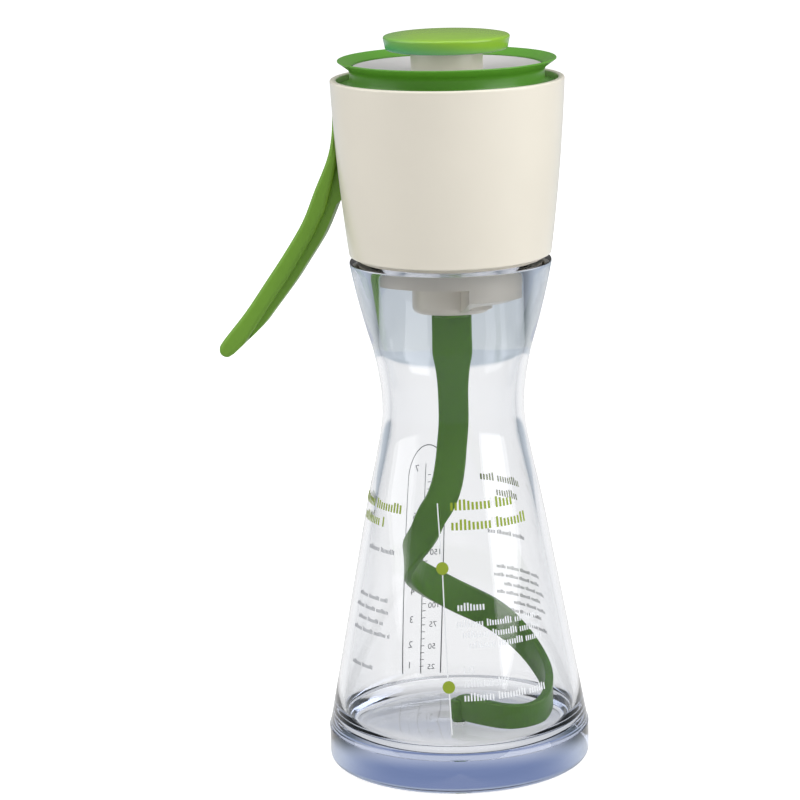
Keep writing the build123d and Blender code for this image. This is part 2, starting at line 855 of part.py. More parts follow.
# Drive shaft: a steel rod with a thinner journal at the top and a clip groove
with BuildPart() as drive_shaft:
    with BuildSketch(Plane.XZ):
        with BuildLine():
            Polyline(
                (0, shaft_foot),
                (shaft_radius, shaft_foot),
                (shaft_radius, clip_foot - RUNNING),
                (shaft_radius - clip_groove, clip_foot - RUNNING),
                (shaft_radius - clip_groove, clip_foot + clip_thickness + RUNNING),
                (shaft_radius, clip_foot + clip_thickness + RUNNING),
                (shaft_radius, output_foot),
                (journal_radius, output_foot),
                (journal_radius, journal_top),
                (0, journal_top),
                close=True,
            )
        make_face()
    revolve(axis=Axis.Z)
drive_shaft.part.label = "drive_shaft"


# Output pinion on the shaft, its tooth space toward the step gear
mesh_angle = math.degrees(math.atan2(idler_y, idler_x))
with BuildPart() as drive_pinion:
    first = mesh_angle + 180 / pinion_teeth
    add(gear_blank(pinion_teeth, first, (0, 0), output_foot, output_top - output_foot))
    add(tube(0, journal_radius, output_foot - OVERRUN, output_top + OVERRUN), mode=Mode.SUBTRACT)
drive_pinion.part.label = "drive_pinion"


# Step gear: a small pinion under a wheel, turning on a steel post
with BuildPart() as step_gear:
    idler = (idler_x, idler_y)
    small = 180 / pinion_teeth - 90
    add(gear_blank(pinion_teeth, small, idler, pinion_foot, wheel_foot + FUSE - pinion_foot))
    add(gear_blank(wheel_teeth, mesh_angle + 180, idler, wheel_foot, wheel_thickness))
    with BuildSketch(Plane.XY.offset(wheel_foot)):
        with Locations(idler):
            Circle(wheel_hub_radius)
    extrude(amount=wheel_hub_top - wheel_foot)
    with BuildSketch(Plane.XY.offset(pinion_foot - OVERRUN)):
        with Locations(idler):
            Circle(post_radius + RUNNING)
    extrude(amount=wheel_hub_top - pinion_foot + 2 * OVERRUN, mode=Mode.SUBTRACT)
step_gear.part.label = "step_gear"

with BuildPart() as gear_post:
    with BuildSketch(Plane.XY.offset(post_foot)):
        with Locations(idler):
            Circle(post_radius)
    extrude(amount=post_top - post_foot)
gear_post.part.label = "gear_post"


# Rack: a slotted bar that the lever's nose pushes toward the axis
nose_x = pin_x - nose_arm * math.sin(math.radians(squeeze / 2))
nose_z = pin_z - nose_arm * math.cos(math.radians(squeeze / 2))
rack_end = nose_x + nose_radius + nose_gap
spring_slot_start = -rack_end - rack_end_wall
rack_pitch_line = idler_y - gear_module * pinion_teeth / 2
rack_root = rack_pitch_line - dedendum_share * gear_module
tooth_pitch = math.pi * gear_module
with BuildPart() as rack:
    slope = math.tan(math.radians(pressure_angle))
    half_tooth = (tooth_pitch / 2 - backlash) / 2
    tip_half = half_tooth - addendum_share * gear_module * slope
    root_half = half_tooth + dedendum_share * gear_module * slope
    tip_line = rack_pitch_line + addendum_share * gear_module
    outline = [(rack_end, -rack_back), (rack_end, rack_back), (-rack_body_end, rack_back)]
    outline.append((-rack_body_end, rack_root))
    for tooth in range(-rack_teeth_behind, rack_teeth_ahead + 1):
        middle = idler_x + tooth * tooth_pitch
        outline.append((middle - root_half, rack_root))
        outline.append((middle - tip_half, tip_line))
        outline.append((middle + tip_half, tip_line))
        outline.append((middle + root_half, rack_root))
    outline += [(-rack_tail, rack_root), (-rack_tail, -rack_back)]
    with BuildSketch(Plane.XY.offset(rack_foot)):
        Polygon(*outline, align=None)
        with Locations((-spring_slot_start, 0)):
            Rectangle(
                spring_slot_start - spring_slot_end,
                2 * spring_slot_half,
                align=(Align.MIN, Align.CENTER),
                mode=Mode.SUBTRACT,
            )
    extrude(amount=rack_thickness)
rack.part.label = "rack"


# Return spring: a steel coil between the rack's slot and the chassis post
spring_start = -spring_slot_start + spring_wire + SLIP
spring_length = spring_slot_start - spring_post_x - 2 * (spring_wire + SLIP)
with BuildPart() as return_spring:
    coil = Helix(
        spring_length / spring_turns,
        spring_length,
        spring_radius,
        center=(spring_start, 0, rack_foot + rack_thickness / 2),
        direction=(1, 0, 0),
    )
    with BuildSketch(Plane(origin=coil @ 0, z_dir=coil % 0)):
        Circle(spring_wire)
    sweep(path=coil, is_frenet=True)
return_spring.part.label = "return_spring"


# Lever: a wide curved handle with a narrower rib and web that reach the pin and the rack
def lever_places(table):
    """Places in the lever's upright plane, from shares of its overhang and drop."""
    return [(pin_x - lever_overhang * x, pin_z - lever_drop * z) for x, z in table]


with BuildPart() as lever:
    with BuildSketch(Plane.XZ):
        with BuildLine():
            outer = lever_places(lever_outer_shares)
            tip = lever_places(lever_tip_shares)
            inner = lever_places(lever_inner_shares)
            neck = lever_places(lever_neck_shares)
            back = Spline(*outer)
            front = Spline(*inner)
            Spline(
                outer[-1], tip[0], tip[1], inner[0], tangents=[back % 1, front % 0]
            )
            Polyline(inner[-1], neck[0], neck[1], outer[0])
        make_face()
    extrude(amount=lever_width / 2, both=True)
    rims = lever.edges().filter_by(lambda e: abs(abs(e.center().Y) - lever_width / 2) < FUSE)
    fillet(rims, lever_edge)
    with BuildSketch(Plane.XZ):
        with BuildLine():
            rib = lever_places(rib_shares)
            Spline(*rib)
            web = [(pin_x - nose_arm * x, pin_z - nose_arm * z) for x, z in web_shares]
            Polyline(rib[-1], *web, *lever_places(brace_shares), rib[0])
        make_face()
        with Locations((pin_x, pin_z)):
            Circle(eye_radius)
        with Locations((nose_x, nose_z)):
            Circle(nose_radius)
    extrude(amount=rib_width / 2, both=True)
    with BuildSketch(Plane.XZ):
        with Locations((pin_x, pin_z)):
            Circle(pin_radius + RUNNING)
    extrude(amount=pin_length, both=True, mode=Mode.SUBTRACT)
lever.part.label = "lever"

with BuildPart() as lever_pin:
    with BuildSketch(Plane.XZ):
        with Locations((pin_x, pin_z)):
            Circle(pin_radius)
    extrude(amount=pin_length / 2, both=True)
lever_pin.part.label = "lever_pin"


# Spiral paddle: one bent strip from the hub under the neck to a pivot in the base
def ribbon_section(share, line, marks):
    """The strip's cross-section at a share of its length."""
    step = max(i for i, mark in enumerate(marks[:-1]) if mark <= share)
    blend = (share - marks[step]) / (marks[step + 1] - marks[step])
    here = ribbon_shares[step]
    ahead = ribbon_shares[step + 1]
    facing = math.radians(ribbon_turn + here[3] + (ahead[3] - here[3]) * blend)
    breadth = ribbon_breadth * (here[4] + (ahead[4] - here[4]) * blend)
    along = line % share
    normal = Vector(math.cos(facing), math.sin(facing), 0)
    normal = (normal - along * normal.dot(along)).normalized()
    plane = Plane(origin=line @ share, x_dir=normal, z_dir=along)
    with BuildSketch(plane) as section:
        Rectangle(ribbon_thickness, breadth)
    return section.sketch.face()


with BuildPart() as agitator:
    places = []
    for turn, reach, height, facing, breadth in ribbon_shares:
        angle = math.radians(ribbon_turn + turn)
        radius = ribbon_reach * reach
        rise = (ribbon_top - ribbon_low) * height
        places.append((radius * math.cos(angle), radius * math.sin(angle), ribbon_low + rise))
    middle_line = Spline(*places, mode=Mode.PRIVATE)
    chords = [math.dist(a, b) for a, b in zip(places, places[1:])]
    marks = [sum(chords[:i]) / sum(chords) for i in range(len(places))]
    stations = [i / ribbon_stations for i in range(ribbon_stations + 1)]
    loft([ribbon_section(share, middle_line, marks) for share in stations])
    add(tube(0, hub_radius, hub_foot, hub_top))
    add(tube(0, foot_radius, foot_low, foot_high))
    add(tube(0, pivot_radius, pivot_low, foot_low + FUSE))
    add(tube(0, shaft_radius, shaft_foot, hub_top + OVERRUN), mode=Mode.SUBTRACT)
agitator.part.label = "agitator"


# Pouring basin: a white dish with a round hole, on a skirt that plugs into the cup
basin_edge = ring_foot + ring_floor + SLIP


def dish_height(radius):
    """Height of the dish's top face at a radius."""
    return dish_seat + dish_slope * max(0, radius - seat_radius)


with BuildPart() as pour_basin:
    with BuildSketch(Plane.XZ):
        with BuildLine():
            Polyline(
                (dish_hole, dish_seat),
                (seat_radius, dish_seat),
                (dish_radius, dish_rim),
                (dish_radius, basin_edge),
                (dish_radius - rim_wall, basin_edge),
                (dish_radius - rim_wall, dish_height(dish_radius - rim_wall) - dish_thickness),
                (skirt_radius, dish_height(skirt_radius) - dish_thickness),
                (skirt_radius, skirt_foot),
                (skirt_radius - skirt_wall, skirt_foot),
                (skirt_radius - skirt_wall, dish_seat - dish_thickness),
                (dish_hole, dish_seat - dish_thickness),
                close=True,
            )
        make_face()
    revolve(axis=Axis.Z)
    with BuildSketch(Plane.XZ):
        with Locations((basin_groove, basin_seal_height)):
            Rectangle(
                skirt_wall, 2 * (basin_seal_wire + groove_gap), align=(Align.MIN, Align.CENTER)
            )
    revolve(axis=Axis.Z, mode=Mode.SUBTRACT)
pour_basin.part.label = "pour_basin"

basin_seal = ring_seal(
    basin_groove + RUNNING, chamber_radius - RUNNING, basin_seal_height
)
basin_seal.label = "basin_seal"


# Pour ring: a green spool round the dish, resting on the cover's upper ledge
with BuildPart() as pour_ring:
    inside = dish_radius + ring_gap
    with BuildSketch(Plane.XZ) as ring_profile:
        with BuildLine():
            Polyline(
                (inside, dish_rim + ring_gap),
                (inside, ring_foot + ring_floor),
                (ring_inner_foot, ring_foot + ring_floor),
                (ring_inner_foot, ring_foot),
                (ring_flange_radius, ring_foot),
                (ring_flange_radius, ring_flange_top),
                (ring_waist_radius, ring_flange_top),
                (ring_waist_radius, ring_waist_top),
                (ring_lip_radius, ring_lip_height - ring_lip_thickness),
                (ring_lip_radius, ring_lip_height),
                (inside, dish_rim + ring_gap),
            )
        make_face()
        fillet(lathe_corner(ring_profile, ring_waist_radius, ring_flange_top), ring_waist_corner)
        fillet(lathe_corner(ring_profile, ring_waist_radius, ring_waist_top), ring_waist_corner)
        fillet(lathe_corner(ring_profile, ring_lip_radius, ring_lip_height), ring_lip_edge)
    revolve(axis=Axis.Z)
pour_ring.part.label = "pour_ring"


# Stopper: a green push-pull cap on a cream stem with a guided rod
with BuildPart() as stopper_cap:
    with BuildSketch(Plane.XZ) as cap_profile:
        with BuildLine():
            Polyline((0, cap_foot), (cap_foot_radius, cap_foot), (cap_radius, cap_rim))
            Spline(
                (cap_radius, cap_rim),
                (cap_radius / 2, cap_top - (cap_top - cap_rim) / 4),
                (0, cap_top),
                tangents=[(-1, 0.25), (-1, 0)],
            )
            Line((0, cap_top), (0, cap_foot))
        make_face()
        fillet(lathe_corner(cap_profile, cap_radius, cap_rim), cap_edge)
        fillet(lathe_corner(cap_profile, cap_foot_radius, cap_foot), cap_edge)
    revolve(axis=Axis.Z)
    add(tube(0, stem_radius + SLIP, cap_foot - OVERRUN, stem_top + SLIP), mode=Mode.SUBTRACT)
    add(
        tube(
            stopper_seal_inner - SLIP,
            stopper_seal_outer + SLIP,
            cap_foot - OVERRUN,
            stopper_seal_top + SLIP,
        ),
        mode=Mode.SUBTRACT,
    )
stopper_cap.part.label = "stopper_cap"

with BuildPart() as stopper_stem:
    add(tube(stem_radius - stem_wall, stem_radius, stem_foot, stem_top))
    add(tube(0, stem_radius, stem_top - stem_roof, stem_top))
    add(tube(0, rod_radius, rod_foot, stem_top - stem_roof + FUSE))
    half = guide_ring_wire + groove_gap
    add(
        tube(guide_groove, rod_radius + OVERRUN, guide_ring_height - half, guide_ring_height + half),
        mode=Mode.SUBTRACT,
    )
stopper_stem.part.label = "stopper_stem"

stopper_seal = tube(
    stopper_seal_inner, stopper_seal_outer, stopper_seal_foot, stopper_seal_top
)
stopper_seal.label = "stopper_seal"
guide_ring = ring_seal(guide_groove + RUNNING / 2, guide_bore - RUNNING / 2, guide_ring_height)
guide_ring.label = "guide_ring"

# Gasket between the bottle's rim and the chassis
neck_gasket = tube(
    neck_bore - gasket_lap / 2, neck_radius + gasket_lap, neck_top, neck_top + gasket_thickness
)
neck_gasket.label = "neck_gasket"

pieces = [
    bottle.part,
    neck_gasket,
    cover.part,
    chassis.part,
    pour_duct.part,
    deck.part,
    housing_screws.part,
    shaft_seal,
    shaft_bush,
    shaft_clip.part,
    drive_shaft.part,
    drive_pinion.part,
    step_gear.part,
    gear_post.part,
    rack.part,
    return_spring.part,
    lever.part,
    lever_pin.part,
    agitator.part,
    pour_basin.part,
    basin_seal,
    pour_ring.part,
    stopper_cap.part,
    stopper_stem.part,
    stopper_seal,
    guide_ring,
]
for piece in pieces:
    export_step(piece, os.path.join("parts", piece.label + ".step"))
    print(piece.label, piece.is_valid, round(piece.volume), len(piece.solids()))
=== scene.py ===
"""Dressing mixer bottle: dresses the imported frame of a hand-pumped salad dressing mixer.

Every piece is built in metres in the frame's own place. Outlines are written in
millimetres as (radius, height) and turned to metres once, where a mesh is made.
"""

import math

import bmesh
import bpy
from bpy.props import FloatProperty, FloatVectorProperty, IntProperty, PointerProperty
from mathutils import Matrix, Vector


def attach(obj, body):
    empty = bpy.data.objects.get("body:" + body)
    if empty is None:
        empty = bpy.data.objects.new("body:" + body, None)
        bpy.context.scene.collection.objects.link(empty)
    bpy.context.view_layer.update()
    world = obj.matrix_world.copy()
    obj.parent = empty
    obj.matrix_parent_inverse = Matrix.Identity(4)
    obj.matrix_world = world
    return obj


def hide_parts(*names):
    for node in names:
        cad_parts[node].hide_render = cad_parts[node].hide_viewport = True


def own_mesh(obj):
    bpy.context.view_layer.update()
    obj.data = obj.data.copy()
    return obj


bl_info = {
    "name": "Dressing Mixer Bottle",
    "version": (1, 0, 0),
    "blender": (4, 5, 0),
    "location": "3D View > Sidebar > Mixer Bottle",
    "description": "Dresses the packed frame of a hand-pumped dressing mixer bottle",
    "category": "Add Mesh",
}

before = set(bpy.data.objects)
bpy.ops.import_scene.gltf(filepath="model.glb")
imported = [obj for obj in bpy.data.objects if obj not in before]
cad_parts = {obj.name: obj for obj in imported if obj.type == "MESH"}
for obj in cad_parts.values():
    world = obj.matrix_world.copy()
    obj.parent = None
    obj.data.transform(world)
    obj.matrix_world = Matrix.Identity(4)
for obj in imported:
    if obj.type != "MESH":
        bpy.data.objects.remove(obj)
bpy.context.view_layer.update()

MM = 0.001
AXIS = Vector((0, 0, 1))
# Faces that meet at more than this, in degrees, keep a sharp edge
SHARP = 38
# Points closer than this, in metres, are one, and places closer than this are level
MERGE = 1e-7
LEVEL = 1e-6


def linear(hex_colour):
    """Linear RGB of an sRGB hex colour such as #8CB53C."""
    channels = [int(hex_colour[i : i + 2], 16) / 255 for i in (1, 3, 5)]
    return tuple(c / 12.92 if c <= 0.04045 else ((c + 0.055) / 1.055) ** 2.4 for c in channels)


def colour(name, description, hex_colour):
    """A colour property with its default given as an sRGB hex value."""
    return FloatVectorProperty(
        name=name, description=description, subtype="COLOR", min=0, max=1, size=3,
        default=linear(hex_colour),
    )


def length(name, description, metres):
    """A length property with its default in metres."""
    return FloatProperty(
        name=name, description=description, subtype="DISTANCE", unit="LENGTH", precision=5,
        default=metres,
    )


class MixerColours(bpy.types.PropertyGroup):
    """Colours of the mixer bottle's plastics and inks."""

    cream: colour("Cream", "Cream ABS of the cover and the stem", "#E1DBCD")
    white: colour("White", "White dish in the pour ring", "#CBC8C9")
    lime: colour("Lime", "Lime stopper cap", "#8CBA34")
    # Painted sheen: a blue-green reflection painted low on the cap's left
    cap_painted_sheen: colour("Cap cast", "Blue-green cast low on the cap's left", "#2F9A78")
    ring_green: colour("Ring green", "Green of the pour ring", "#57962A")
    lever_green: colour("Lever green", "Green of the squeeze lever", "#6C9A29")
    paddle_green: colour("Paddle green", "Dark green of the spiral paddle", "#538321")
    gear_white: colour("Gear white", "Natural acetal of the gears", "#EDEBE2")
    rubber: colour("Seal rubber", "Silicone of the seals", "#C9CFCB")
    steel: colour("Steel", "Stainless steel of the shaft, pins and screws", "#C4C5C6")
    ink_green: colour("Green ink", "Screen-printed green headings and dots", "#8FA32A")
    ink_white: colour("White ink", "Screen-printed white lines", "#E6E9EC")
    ink_grey: colour("Grey ink", "Screen-printed grey scale", "#8F9298")


class MixerSizes(bpy.types.PropertyGroup):
    """Sizes of the mixer bottle's dressed pieces."""

    turns: IntProperty(
        name="Turned steps", description="Faces round each turned piece", default=160, min=24
    )
    print_height: length("Print height", "How far ink stands off the bottle", 0.00005)
    lever_edge: length("Lever edge", "Edge radius of the lever's handle", 0.0017)
    rib_edge: length("Rib edge", "Edge radius of the lever's rib", 0.0004)
    ribbon_edge: length("Paddle edge", "Edge radius of the paddle strip", 0.0006)
    photo_lens: FloatProperty(
        name="Lens", description="Focal length on a 36 mm sensor, in millimetres", default=139.8
    )
    camera_distance: length("Camera distance", "From the bottle's axis, along the floor", 0.93206)
    camera_height: length("Camera height", "Above the floor", 0.32558)


# Outlines


def rounded(corners, steps=6):
    """Points of an open outline whose corners are (radius, height, corner radius)."""
    points = []
    for i, (x, z, radius) in enumerate(corners):
        here = Vector((x, z))
        if radius == 0 or i in (0, len(corners) - 1):
            points.append((x, z))
            continue
        back = (Vector(corners[i - 1][:2]) - here).normalized()
        on = (Vector(corners[i + 1][:2]) - here).normalized()
        half = back.angle(on) / 2
        reach = radius / math.tan(half)
        centre = here + (back + on).normalized() * radius / math.sin(half)
        start = here + back * reach - centre
        turn = start.angle_signed(here + on * reach - centre)
        for step in range(steps + 1):
            angle = -turn * step / steps
            arm = Matrix.Rotation(angle, 2) @ start
            points.append(tuple(centre + arm))
    return points


def flowing(points, steps=6):
    """A smooth open line through some points, by cubic interpolation."""
    ends = [2 * Vector(points[0]) - Vector(points[1])]
    ends += [Vector(p) for p in points]
    ends += [2 * Vector(points[-1]) - Vector(points[-2])]
    line = []
    for a, b, c, d in zip(ends, ends[1:], ends[2:], ends[3:]):
        for step in range(steps):
            t = step / steps
            line.append(
                0.5
                * (2 * b + (c - a) * t + (2 * a - 5 * b + 4 * c - d) * t**2
                   + (3 * b - a - 3 * c + d) * t**3)
            )
    line.append(ends[-2])
    return [tuple(p) for p in line]


def radius_at(points, height):
    """Radius of an outline of (radius, height) points at a height."""
    for (ra, za), (rb, zb) in zip(points, points[1:]):
        if min(za, zb) <= height <= max(za, zb) and za != zb:
            return ra + (rb - ra) * (height - za) / (zb - za)
    return points[-1][0]


# Meshes


def finish_mesh(name, bm, smooth_angle=SHARP):
    """An object of a bmesh, smooth except across sharp edges."""
    bmesh.ops.remove_doubles(bm, verts=bm.verts, dist=MERGE)
    bmesh.ops.recalc_face_normals(bm, faces=bm.faces)
    mesh = bpy.data.meshes.new(name)
    bm.to_mesh(mesh)
    bm.free()
    for polygon in mesh.polygons:
        polygon.use_smooth = True
    mesh.set_sharp_from_angle(angle=math.radians(smooth_angle))
    piece = bpy.data.objects.new(name, mesh)
    bpy.context.scene.collection.objects.link(piece)
    return piece


def turned(bm, points, closed=True):
    """Spins an outline of (radius, height) in millimetres round the bottle's axis."""
    verts = [bm.verts.new((r * MM, 0, z * MM)) for r, z in points]
    pairs = list(zip(verts, verts[1:]))
    if closed:
        pairs.append((verts[-1], verts[0]))
    edges = [bm.edges.new(pair) for pair in pairs]
    steps = bpy.context.scene.mixer_sizes.turns
    bmesh.ops.spin(
        bm, geom=verts + edges, cent=(0, 0, 0), axis=AXIS, angle=2 * math.pi, steps=steps,
        use_merge=True,
    )
    bmesh.ops.remove_doubles(bm, verts=bm.verts, dist=MERGE)
    bmesh.ops.dissolve_degenerate(bm, edges=bm.edges, dist=MERGE)


def turned_piece(name, points, closed=True):
    """A turned object from one outline."""
    bm = bmesh.new()
    turned(bm, points, closed)
    return finish_mesh(name, bm)


def slab(bm, points, width, edge, segments=4):
    """Extrudes an upright outline of (x, z) in millimetres to a width along Y."""
    verts = [bm.verts.new((x * MM, -width / 2, z * MM)) for x, z in points]
    face = bm.faces.new(verts)
    out = bmesh.ops.extrude_face_region(bm, geom=[face])
    moved = [v for v in out["geom"] if isinstance(v, bmesh.types.BMVert)]
    bmesh.ops.translate(bm, verts=moved, vec=(0, width, 0))
    bmesh.ops.recalc_face_normals(bm, faces=bm.faces)
    rims = []
    for rim in bm.edges:
        first, second = (v.co.y for v in rim.verts)
        if abs(first - second) < LEVEL and abs(abs(first) - width / 2) < LEVEL:
            rims.append(rim)
    if edge > 0:
        bmesh.ops.bevel(
            bm, geom=rims, offset=edge, offset_type="OFFSET", segments=segments, profile=0.5,
            affect="EDGES", material=-1, clamp_overlap=True,
        )


def sweep(bm, sections):
    """Extrudes a closed section through a run of places, each a list of the same points."""
    verts = [bm.verts.new(co) for co in sections[0]]
    face = bm.faces.new(verts)
    for targets in sections[1:]:
        out = bmesh.ops.extrude_face_region(bm, geom=[face])
        face = next(g for g in out["geom"] if isinstance(g, bmesh.types.BMFace))
        fresh = set(face.verts)
        verts = [
            next(e.other_vert(v) for e in v.link_edges if e.other_vert(v) in fresh) for v in verts
        ]
        for vert, target in zip(verts, targets):
            vert.co = target


def helix(radius, foot, lead, start, angle, steps):
    """Places round a helix on the bottle's axis: a matrix with X outward at each."""
    frames = []
    for step in range(steps + 1):
        turn = start + angle * step / steps
        rise = foot + lead * (turn - start) / (2 * math.pi)
        at = Matrix.Translation((0, 0, rise)) @ Matrix.Rotation(turn, 4, "Z")
        frames.append(at @ Matrix.Translation((radius, 0, 0)))
    return frames


def combine(piece, other, operation):
    """Applies a boolean of another object to a piece and removes the other object."""
    modifier = piece.modifiers.new("combine", "BOOLEAN")
    modifier.object = other
    modifier.operation = operation
    modifier.solver = "EXACT"
    bpy.context.view_layer.update()
    depsgraph = bpy.context.evaluated_depsgraph_get()
    mesh = bpy.data.meshes.new_from_object(piece.evaluated_get(depsgraph))
    piece.modifiers.clear()
    old = piece.data
    piece.data = mesh
    mesh.name = piece.name
    bpy.data.meshes.remove(old)
    bpy.data.objects.remove(other)
    for polygon in mesh.polygons:
        polygon.use_smooth = True
    mesh.set_sharp_from_angle(angle=math.radians(SHARP))


def place(piece, body, material, *nodes):
    """Rides a piece on a body with its material, in place of some frame nodes."""
    piece.data.materials.clear()
    piece.data.materials.append(material)
    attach(piece, body)
    if nodes:
        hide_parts(*nodes)


def dress(material, *nodes):
    """Gives a material to frame nodes that keep their own shape."""
    for node in nodes:
        piece = bpy.data.objects[node]
        piece.data.materials.clear()
        piece.data.materials.append(material)


# Materials


def add_node(tree, kind, inputs=None, **values):
    """Adds a node with its settings, and its inputs as values or links."""
    node = tree.nodes.new(kind)
    for key, value in values.items():
        setattr(node, key, value)
    for key, value in (inputs or {}).items():
        if isinstance(value, bpy.types.NodeSocket):
            tree.links.new(value, node.inputs[key])
        else:
            node.inputs[key].default_value = value
    return node


def new_material(name):
    """A material with an empty node tree and its output node."""
    material = bpy.data.materials.new(name)
    material.use_nodes = True
    material.node_tree.nodes.clear()
    return material, material.node_tree, add_node(material.node_tree, "ShaderNodeOutputMaterial")


# Sizes of the patterns in millimetres: the slow drift of a plastic's colour, the waves of a
# clear wall, the lines of drawn steel before their stretch, and the mesh of screen print
DRIFT_SIZE = 40
WAVE_SIZE = 18
LINE_SIZE, LINE_STRETCH = 3.6, 12
MESH_SIZE = 0.25
# Where the painted sheen shows: a slanting measure of a place in metres, and the fade's two ends
SHEEN_SLANT = (-0.6, 0.0, -5.0)
SHEEN_START, SHEEN_END = -1.129, -1.102


def with_painted_sheen(tree, place_on, shade, painted_sheen):
    """A plastic's colour with a painted sheen of a second colour low on its left, standing in for
    a reflection.
    """
    slant = add_node(
        tree, "ShaderNodeVectorMath", {0: place_on.outputs["Object"], 1: SHEEN_SLANT},
        operation="DOT_PRODUCT",
    )
    low = add_node(
        tree, "ShaderNodeMapRange",
        {"Value": slant.outputs["Value"], "From Min": SHEEN_START, "From Max": SHEEN_END,
         "To Min": 0.0, "To Max": 0.9},
    )
    return add_node(
        tree, "ShaderNodeMix", {0: low.outputs["Result"], 6: shade.outputs[2], 7: (*painted_sheen, 1)},
        data_type="RGBA",
    )


def moulded(name, rgb, roughness, ior=1.53, grain=0.35, subsurface=0.0, coat=0.0, painted_sheen=None):
    """Injection-moulded plastic: a fine spark-eroded grain, slow colour drift and soft gloss.

    The real grain is about 0.05 mm and too fine to show, so it is drawn at 0.35 mm.
    """
    material, tree, output = new_material(name)
    place_on = add_node(tree, "ShaderNodeTexCoord")
    drift = add_node(
        tree, "ShaderNodeTexNoise",
        {"Vector": place_on.outputs["Object"], "Scale": 1 / (DRIFT_SIZE * MM), "Detail": 3.0},
    )
    shade = add_node(
        tree, "ShaderNodeMix",
        {0: drift.outputs["Fac"], 6: (*[c * 0.94 for c in rgb], 1),
         7: (*[min(1, c * 1.05) for c in rgb], 1)},
        data_type="RGBA",
    )
    # Painted sheen: a second colour laid low on the left, standing in for a reflection
    if painted_sheen:
        shade = with_painted_sheen(tree, place_on, shade, painted_sheen)
    fine = add_node(
        tree, "ShaderNodeTexNoise",
        {"Vector": place_on.outputs["Object"], "Scale": 1 / (grain * MM), "Detail": 2.0},
    )
    gloss = add_node(
        tree, "ShaderNodeMapRange",
        {"Value": drift.outputs["Fac"], "To Min": roughness * 0.85, "To Max": roughness * 1.2},
    )
    bump = add_node(
        tree, "ShaderNodeBump",
        {"Height": fine.outputs["Fac"], "Strength": 0.06, "Distance": 0.02 * MM},
    )
    shader = add_node(
        tree, "ShaderNodeBsdfPrincipled",
        {"Base Color": shade.outputs[2], "Roughness": gloss.outputs["Result"], "IOR": ior,
         "Normal": bump.outputs["Normal"], "Subsurface Weight": subsurface,
         "Subsurface Radius": (2 * MM, 2 * MM, 2 * MM), "Coat Weight": coat,
         "Coat Roughness": 0.08},
    )
    tree.links.new(shader.outputs["BSDF"], output.inputs["Surface"])
    return material


def clear_styrene():
    """Clear styrene-acrylonitrile: glossy, faintly wavy walls, blue-grey where it is thick."""
    material, tree, output = new_material("clear_styrene_moulded")
    place_on = add_node(tree, "ShaderNodeTexCoord")
    wave = add_node(
        tree, "ShaderNodeTexNoise",
        {"Vector": place_on.outputs["Object"], "Scale": 1 / (WAVE_SIZE * MM), "Detail": 1.0},
    )
    bump = add_node(
        tree, "ShaderNodeBump",
        {"Height": wave.outputs["Fac"], "Strength": 0.05, "Distance": 0.1 * MM},
    )
    gloss = add_node(
        tree, "ShaderNodeMapRange",
        {"Value": wave.outputs["Fac"], "To Min": 0.0, "To Max": 0.004},
    )
    shader = add_node(
        tree, "ShaderNodeBsdfPrincipled",
        {"Base Color": (1, 1, 1, 1), "Roughness": gloss.outputs["Result"], "IOR": 1.5,
         "Transmission Weight": 1.0, "Normal": bump.outputs["Normal"]},
    )
    tint = add_node(
        tree, "ShaderNodeVolumeAbsorption", {"Color": (0.18, 0.30, 0.60, 1), "Density": 10.0}
    )
    tree.links.new(shader.outputs["BSDF"], output.inputs["Surface"])
    tree.links.new(tint.outputs["Volume"], output.inputs["Volume"])
    return material


def drawn_steel(name, rgb):
    """Drawn stainless steel: bright, with fine lines round its length, drawn at 0.3 mm."""
    material, tree, output = new_material(name)
    place_on = add_node(tree, "ShaderNodeTexCoord")
    stretch = add_node(
        tree, "ShaderNodeMapping",
        {"Vector": place_on.outputs["Object"], "Scale": (1, 1, LINE_STRETCH)},
    )
    lines = add_node(
        tree, "ShaderNodeTexNoise",
        {"Vector": stretch.outputs["Vector"], "Scale": 1 / (LINE_SIZE * MM), "Detail": 4.0},
    )
    gloss = add_node(
        tree, "ShaderNodeMapRange", {"Value": lines.outputs["Fac"], "To Min": 0.18, "To Max": 0.34}
    )
    shader = add_node(
        tree, "ShaderNodeBsdfPrincipled",
        {"Base Color": (*rgb, 1), "Metallic": 1.0, "Roughness": gloss.outputs["Result"]},
    )
    tree.links.new(shader.outputs["BSDF"], output.inputs["Surface"])
    return material


def printed_ink(name, rgb):
    """Screen-printed ink: matt, with the screen's mesh as faint density, drawn at 0.25 mm."""
    material, tree, output = new_material(name)
    place_on = add_node(tree, "ShaderNodeTexCoord")
    speck = add_node(
        tree, "ShaderNodeTexNoise",
        {"Vector": place_on.outputs["Object"], "Scale": 1 / (MESH_SIZE * MM), "Detail": 2.0},
    )
    shade = add_node(
        tree, "ShaderNodeMix",
        {0: speck.outputs["Fac"], 6: (*[c * 0.88 for c in rgb], 1), 7: (*rgb, 1)},
        data_type="RGBA",
    )
    shader = add_node(
        tree, "ShaderNodeBsdfPrincipled",
        {"Base Color": shade.outputs[2], "Roughness": 0.6, "IOR": 1.45},
    )
    tree.links.new(shader.outputs["BSDF"], output.inputs["Surface"])
    return material


# Bottle

# The bottle's outer wall from the base's ridge to the shoulder, (radius, height)
BOTTLE_WALL = [
    (40.45, 11.2), (38.44, 22.0), (34.72, 42.0), (31.07, 61.6), (28.18, 77.2), (26.3, 86.8),
    (24.2, 96.4), (22.4, 105.9), (21.9, 112.8), (22.4, 120.1), (24.1, 129.5), (26.7, 138.9),
    (29.0, 148.3), (30.8, 157.0),
]
WALL = 2.8
BASE_RADIUS = 40.7
CAVITY_FLOOR = 10.2
SOCKET_RADIUS, SOCKET_FLOOR = 2.2, 4.2
NECK_RADIUS, NECK_FOOT, NECK_TOP = 24.7, 157.9, 172.5
BORE_RADIUS, BORE_FOOT = 22.0, 134.0
# Heights between which the inside follows the outer wall
INSIDE_FOOT, INSIDE_TOP = 20.0, 131.0
